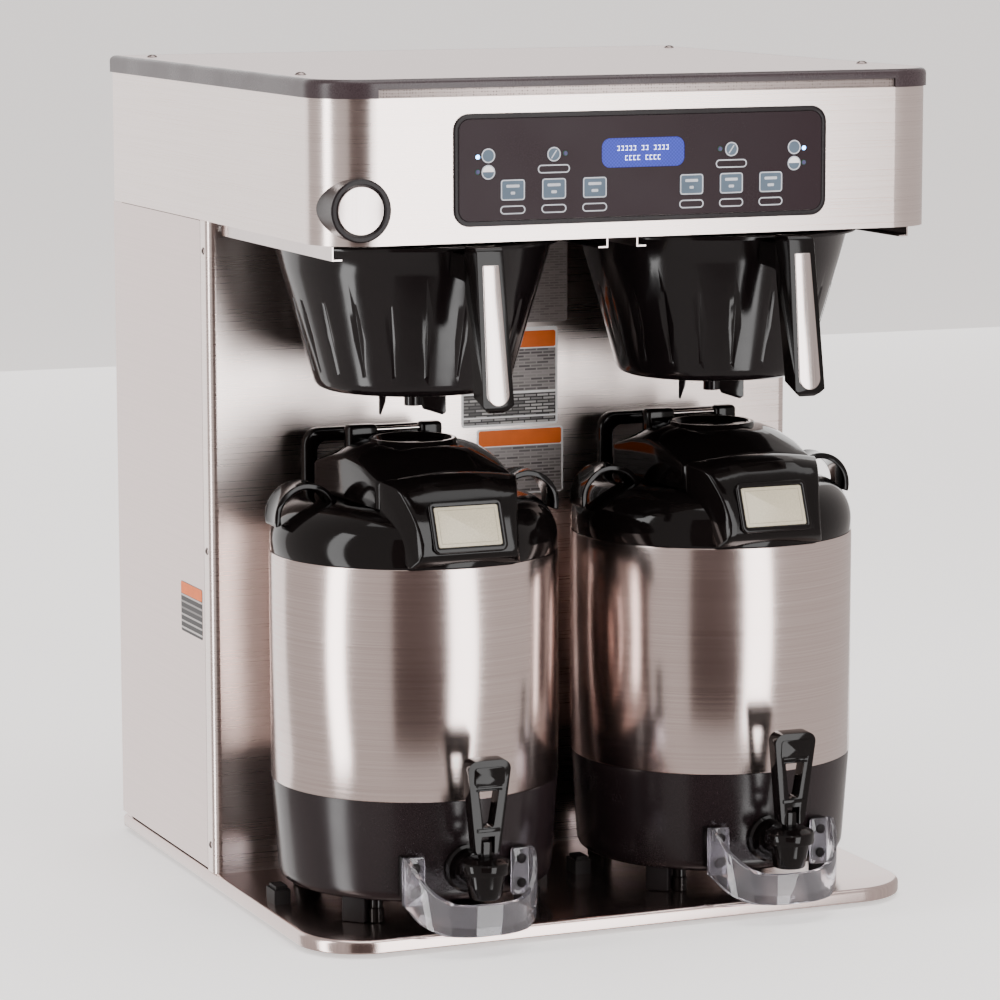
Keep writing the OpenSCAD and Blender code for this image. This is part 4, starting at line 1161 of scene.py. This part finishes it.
        rod = Bench.turned([(2.0, 0.0), (2.0, 40.0)], 24, start_cap=True, end_cap=True)
        Bench.put(rod, -18.0, 40.5, 397.0, tilt=90.0, spin=90.0)
        Bench.to_both(rod, "lid_rod", "lid", "server_steel", POLISHED)
        tongue = Bench.box((58.0, 17.0, 6.0), (0.0, 73.0, 352.0))
        Bench.soften(tongue, 1.2, 3)
        Bench.to_both(tongue, "lid_tongue", "lid", "black_gloss", GLOSS_BLACK)
        barrel = Bench.turned([(2.05, 0.0), (3.4, 0.0), (3.4, 58.0), (2.05, 58.0)], 32, closed=True)
        Bench.put(barrel, -29.0, self.hinge_y, self.hinge_z, tilt=90.0, spin=90.0)
        Bench.to_both(barrel, "lid_hinge_barrel", "lid", "black_gloss", GLOSS_BLACK)

    @staticmethod
    def last_share(share: float) -> float:
        """The share of the lid's ring before this one."""
        shares = (1.0, 0.992, 0.972, 0.93, 0.86, 0.78, 0.7, 0.6, 0.5)
        return shares[shares.index(share) - 1]

    def faucet(self) -> None:
        """The faucet: shank, tapered body, bonnet nut and the yoke that holds the lever."""
        body = Bench.turned([(6.0, 62.0), (6.0, 46.4), (8.0, 46.0), (12.2, 46.0), (13.0, 46.8), (14.6, 56.0),
            (16.6, 65.6), (19.8, 66.4), (20.5, 67.4),
            (20.5, 74.6), (19.6, 75.8), (17.6, 76.4), (14.0, 78.2), (12.0, 79.0)], 72, start_cap=True,
            end_cap=True)
        Bench.put(body, y=self.faucet_y)
        Bench.to_both(body, "faucet_shell", "server", "black_gloss", GLOSS_BLACK, "faucet_body", 36.0)
        shank = Bench.turned([(9.0, 0.0), (9.0, 26.0)], 40, start_cap=True, end_cap=True)
        Bench.put(shank, y=-123.5, z=60.0, tilt=90.0)
        Bench.to_both(shank, "faucet_shank", "server", "black_gloss", GLOSS_BLACK)
        stem = Bench.box((9.8, 9.6, 14.5), (0.0, self.faucet_y, 85.2))
        Bench.soften(stem, 1.6, 3)
        Bench.to_both(stem, "faucet_stem", "server", "black_gloss", GLOSS_BLACK)
        pin = Bench.turned([(2.0, 0.0), (2.0, 20.0)], 24, start_cap=True, end_cap=True)
        Bench.put(pin, -10.0, self.faucet_y, 88.0, tilt=90.0, spin=90.0)
        Bench.to_both(pin, "faucet_pin", "server", "black_gloss", POLISHED)

    def lever(self) -> None:
        """The faucet lever: a frame with an open window, a grip field with two ridges, and a fork over the stem."""
        obj = Bench.outline([(-10.2, -5.4), (10.2, -5.4), (19.0, 71.0), (-19.0, 71.0)])
        Bench.round_corners(obj, 9.0, 8, lambda at, _: at.y > 50)
        Bench.round_corners(obj, 3.5, 4, lambda at, _: at.y < 0)
        Bench.raise_up(obj, 13.0)
        window = Bench.outline([(-4.3, 16.4), (4.3, 16.4), (8.6, 47.0), (-8.6, 47.0)])
        Bench.round_corners(window, 2.2, 4, lambda at, _: True)
        Bench.put(window, z=-5.0)
        Bench.cut(obj, Bench.raise_up(window, 30.0))
        Bench.cut(obj, Bench.box((10.8, 15.0, 30.0), (0.0, 1.5, 6.0)))
        Bench.soften(obj, 1.9, 4, 40.0)
        Bench.put(obj, z=-6.5)
        field = Bench.rounded(26.0, 15.0, 3.0, 4)
        Bench.put(field, y=58.0, z=6.2)
        Bench.raise_up(field, 0.9)
        Bench.soften(field, 0.5, 2)
        ridges = [Bench.box((22.0, 1.6, 1.6), (0.0, 50.2 - 3.1 * i, 6.8)) for i in range(2)]
        collar = Bench.box((20.0, 3.0, 15.2), (0.0, 14.2, 0.0))
        for extra in (*ridges, collar):
            Bench.soften(extra, 0.7, 3)
        Bench.join(obj, field, *ridges, collar)
        Bench.put(obj, y=self.faucet_y, z=88.0, tilt=93.0)
        Bench.to_both(obj, "lever_frame", "faucet_lever", "black_gloss", GLOSS_BLACK, "faucet_handle", 38.0)

    def guard(self) -> None:
        """The clear guard: a U-shaped wall with a swept edge, two flanges and their screws."""
        outer = arc((-6.0, -115.6), 50.0, 180.0, 270.0, 22) + arc((6.0, -115.6), 50.0, 270.0, 360.0, 22)
        inner = arc((6.0, -115.6), 46.4, 360.0, 270.0, 22) + arc((-6.0, -115.6), 46.4, 270.0, 180.0, 22)
        plan = Bench.outline([(-56.0, -114.2), *outer, (56.0, -114.2), (52.4, -114.2), *inner,
            (-52.4, -114.2)])
        Bench.raise_up(plan, 70.0)
        Bench.put(plan, z=10.0)
        side = [(-110.0, 75.0), (-122.0, 75.0), (-130.0, 69.0), (-140.0, 58.5), (-150.0, 49.5),
            (-158.0, 43.8), (-170.0, 42.0), (-170.0, 17.4), (-156.0, 18.4),
            (-140.0, 25.0), (-126.0, 33.4), (-116.0, 36.0), (-110.0, 36.0)]
        keep = Bench.raise_up(Bench.outline(side), 140.0)
        Bench.put(keep, z=-70.0)
        Bench.put(keep, tilt=90.0, spin=90.0)
        Bench.cut(plan, keep, keep_common=True)
        Bench.soften(plan, 0.9, 3, 50.0)
        Bench.to_both(plan, "guard_wall", "server", "clear_guard", CLEAR, "splash_guard", 40.0)
        for i, s in enumerate((-1.0, 1.0)):
            flange = Bench.rounded(15.0, 38.4, 2.5, 4)
            Bench.raise_up(flange, 3.4)
            Bench.soften(flange, 0.7, 2)
            Bench.put(flange, s * 44.8, -114.3, 55.5, tilt=90.0)
            Bench.to_both(flange, f"guard_flange_{i + 1}", "server", "clear_guard", CLEAR)
            for j, z in enumerate((46.0, 66.0)):
                screw = Bench.turned([(4.0, 0.0), (4.0, 0.8), (3.3, 1.8), (1.8, 2.4)], 24, start_cap=True,
                    end_cap=True)
                Bench.put(screw, s * 45.6, -117.75, z, tilt=90.0)
                Bench.to_both(screw, f"guard_screw_{2 * i + j + 1}", "server", "clear_guard", MATT_BLACK)


# ---------- Studio ----------


@dataclass
class Studio:
    """Pale floor, soft lights and the camera."""

    eye: tuple[float, float, float] = (-1.3379, -3.1853, 0.8342)
    yaw: float = 22.54
    pitch: float = 8.44
    roll: float = -0.12
    lens: float = 148.0
    card_turn: float = 18.5

    def build(self) -> None:
        """Sets up the studio."""
        self.floor()
        self.surroundings()
        self.lights()
        self.camera()

    def floor(self) -> None:
        """A wide pale floor and a dark card that only reflections see."""
        Bench.clear()
        bpy.ops.mesh.primitive_plane_add(size=120.0, location=(0.0, 0.0, 0.0))
        ground = bpy.context.object
        ground.name = "studio_floor"
        ground.data.materials.append(Lit("pale_floor", "f6f4f3", 0.9, glow="f6f4f3", strength=0.7,
            cell=0.01).material())
        ground.visible_glossy = False
        Bench.clear()
        bpy.ops.mesh.primitive_plane_add(size=1.0, location=(-0.94, -2.9, 0.5),
            rotation=(math.pi / 2, 0.0, math.radians(-self.card_turn)))
        card = bpy.context.object
        card.scale = (2.32, 4.4, 1.0)
        card.name = "studio_dark_card"
        card.data.materials.append(MouldedMatt("dark_card", "4a403e", 0.9, depth=0.0).material())
        card.visible_camera = card.visible_shadow = card.visible_diffuse = False

    def surroundings(self) -> None:
        """A pale even surround."""
        world = bpy.data.worlds.new("studio_surround")
        bpy.context.scene.world = world
        world.use_nodes = True
        ground = world.node_tree.nodes["Background"]
        ground.inputs["Color"].default_value = linear("fbf2ee")
        ground.inputs["Strength"].default_value = 0.75

    def lights(self) -> None:
        """Two tall soft boxes either side of the camera, a broad one above and a wide one behind."""
        for name, place, aim, size, power in (
            ("left_soft_box", (-3.2, -0.4, 0.5), (0.0, -0.1, 0.5), (0.8, 5.0), 110.0),
            ("right_soft_box", (0.85, -3.1, 0.5), (-0.1, -0.1, 0.5), (1.2, 5.0), 125.0),
            ("top_soft_box", (0.2, -0.3, 3.0), (0.0, 0.0, 0.3), (2.4, 2.4), 60.0),
            ("back_soft_box", (0.1, 3.8, 0.3), (0.0, 0.0, 0.4), (6.6, 5.0), 145.0),
        ):
            data = bpy.data.lights.new(name, "AREA")
            data.shape, data.size, data.size_y, data.energy = "RECTANGLE", size[0], size[1], power
            lamp = bpy.data.objects.new(name, data)
            bpy.context.collection.objects.link(lamp)
            lamp.location = place
            lamp.rotation_euler = (Vector(aim) - Vector(place)).to_track_quat("-Z", "Y").to_euler()
            lamp.visible_camera = False

    def camera(self) -> None:
        """The camera at the viewing angle."""
        data = bpy.data.cameras.new("camera")
        data.sensor_width, data.lens = 36.0, self.lens
        data.clip_start, data.clip_end = 0.05, 60.0
        camera = bpy.data.objects.new("camera", data)
        bpy.context.collection.objects.link(camera)
        yaw, pitch = math.radians(self.yaw), math.radians(self.pitch)
        ahead = Vector((math.sin(yaw) * math.cos(pitch), math.cos(yaw) * math.cos(pitch), -math.sin(pitch)))
        camera.location = self.eye
        turned = ahead.to_track_quat("-Z", "Y").to_matrix()
        camera.rotation_euler = turned.to_euler()
        camera.rotation_euler.rotate_axis("Z", math.radians(self.roll))
        bpy.context.scene.camera = camera


def main() -> None:
    """Builds everything in order."""
    logging.basicConfig(level=logging.INFO, format="%(message)s")
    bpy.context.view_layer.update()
    for made in (Cabinet(), ControlPanel(), Funnels(), Servers(), Studio()):
        LOG.info("building %s", type(made).__name__)
        made.build()


if __name__ == "__main__":
    main()
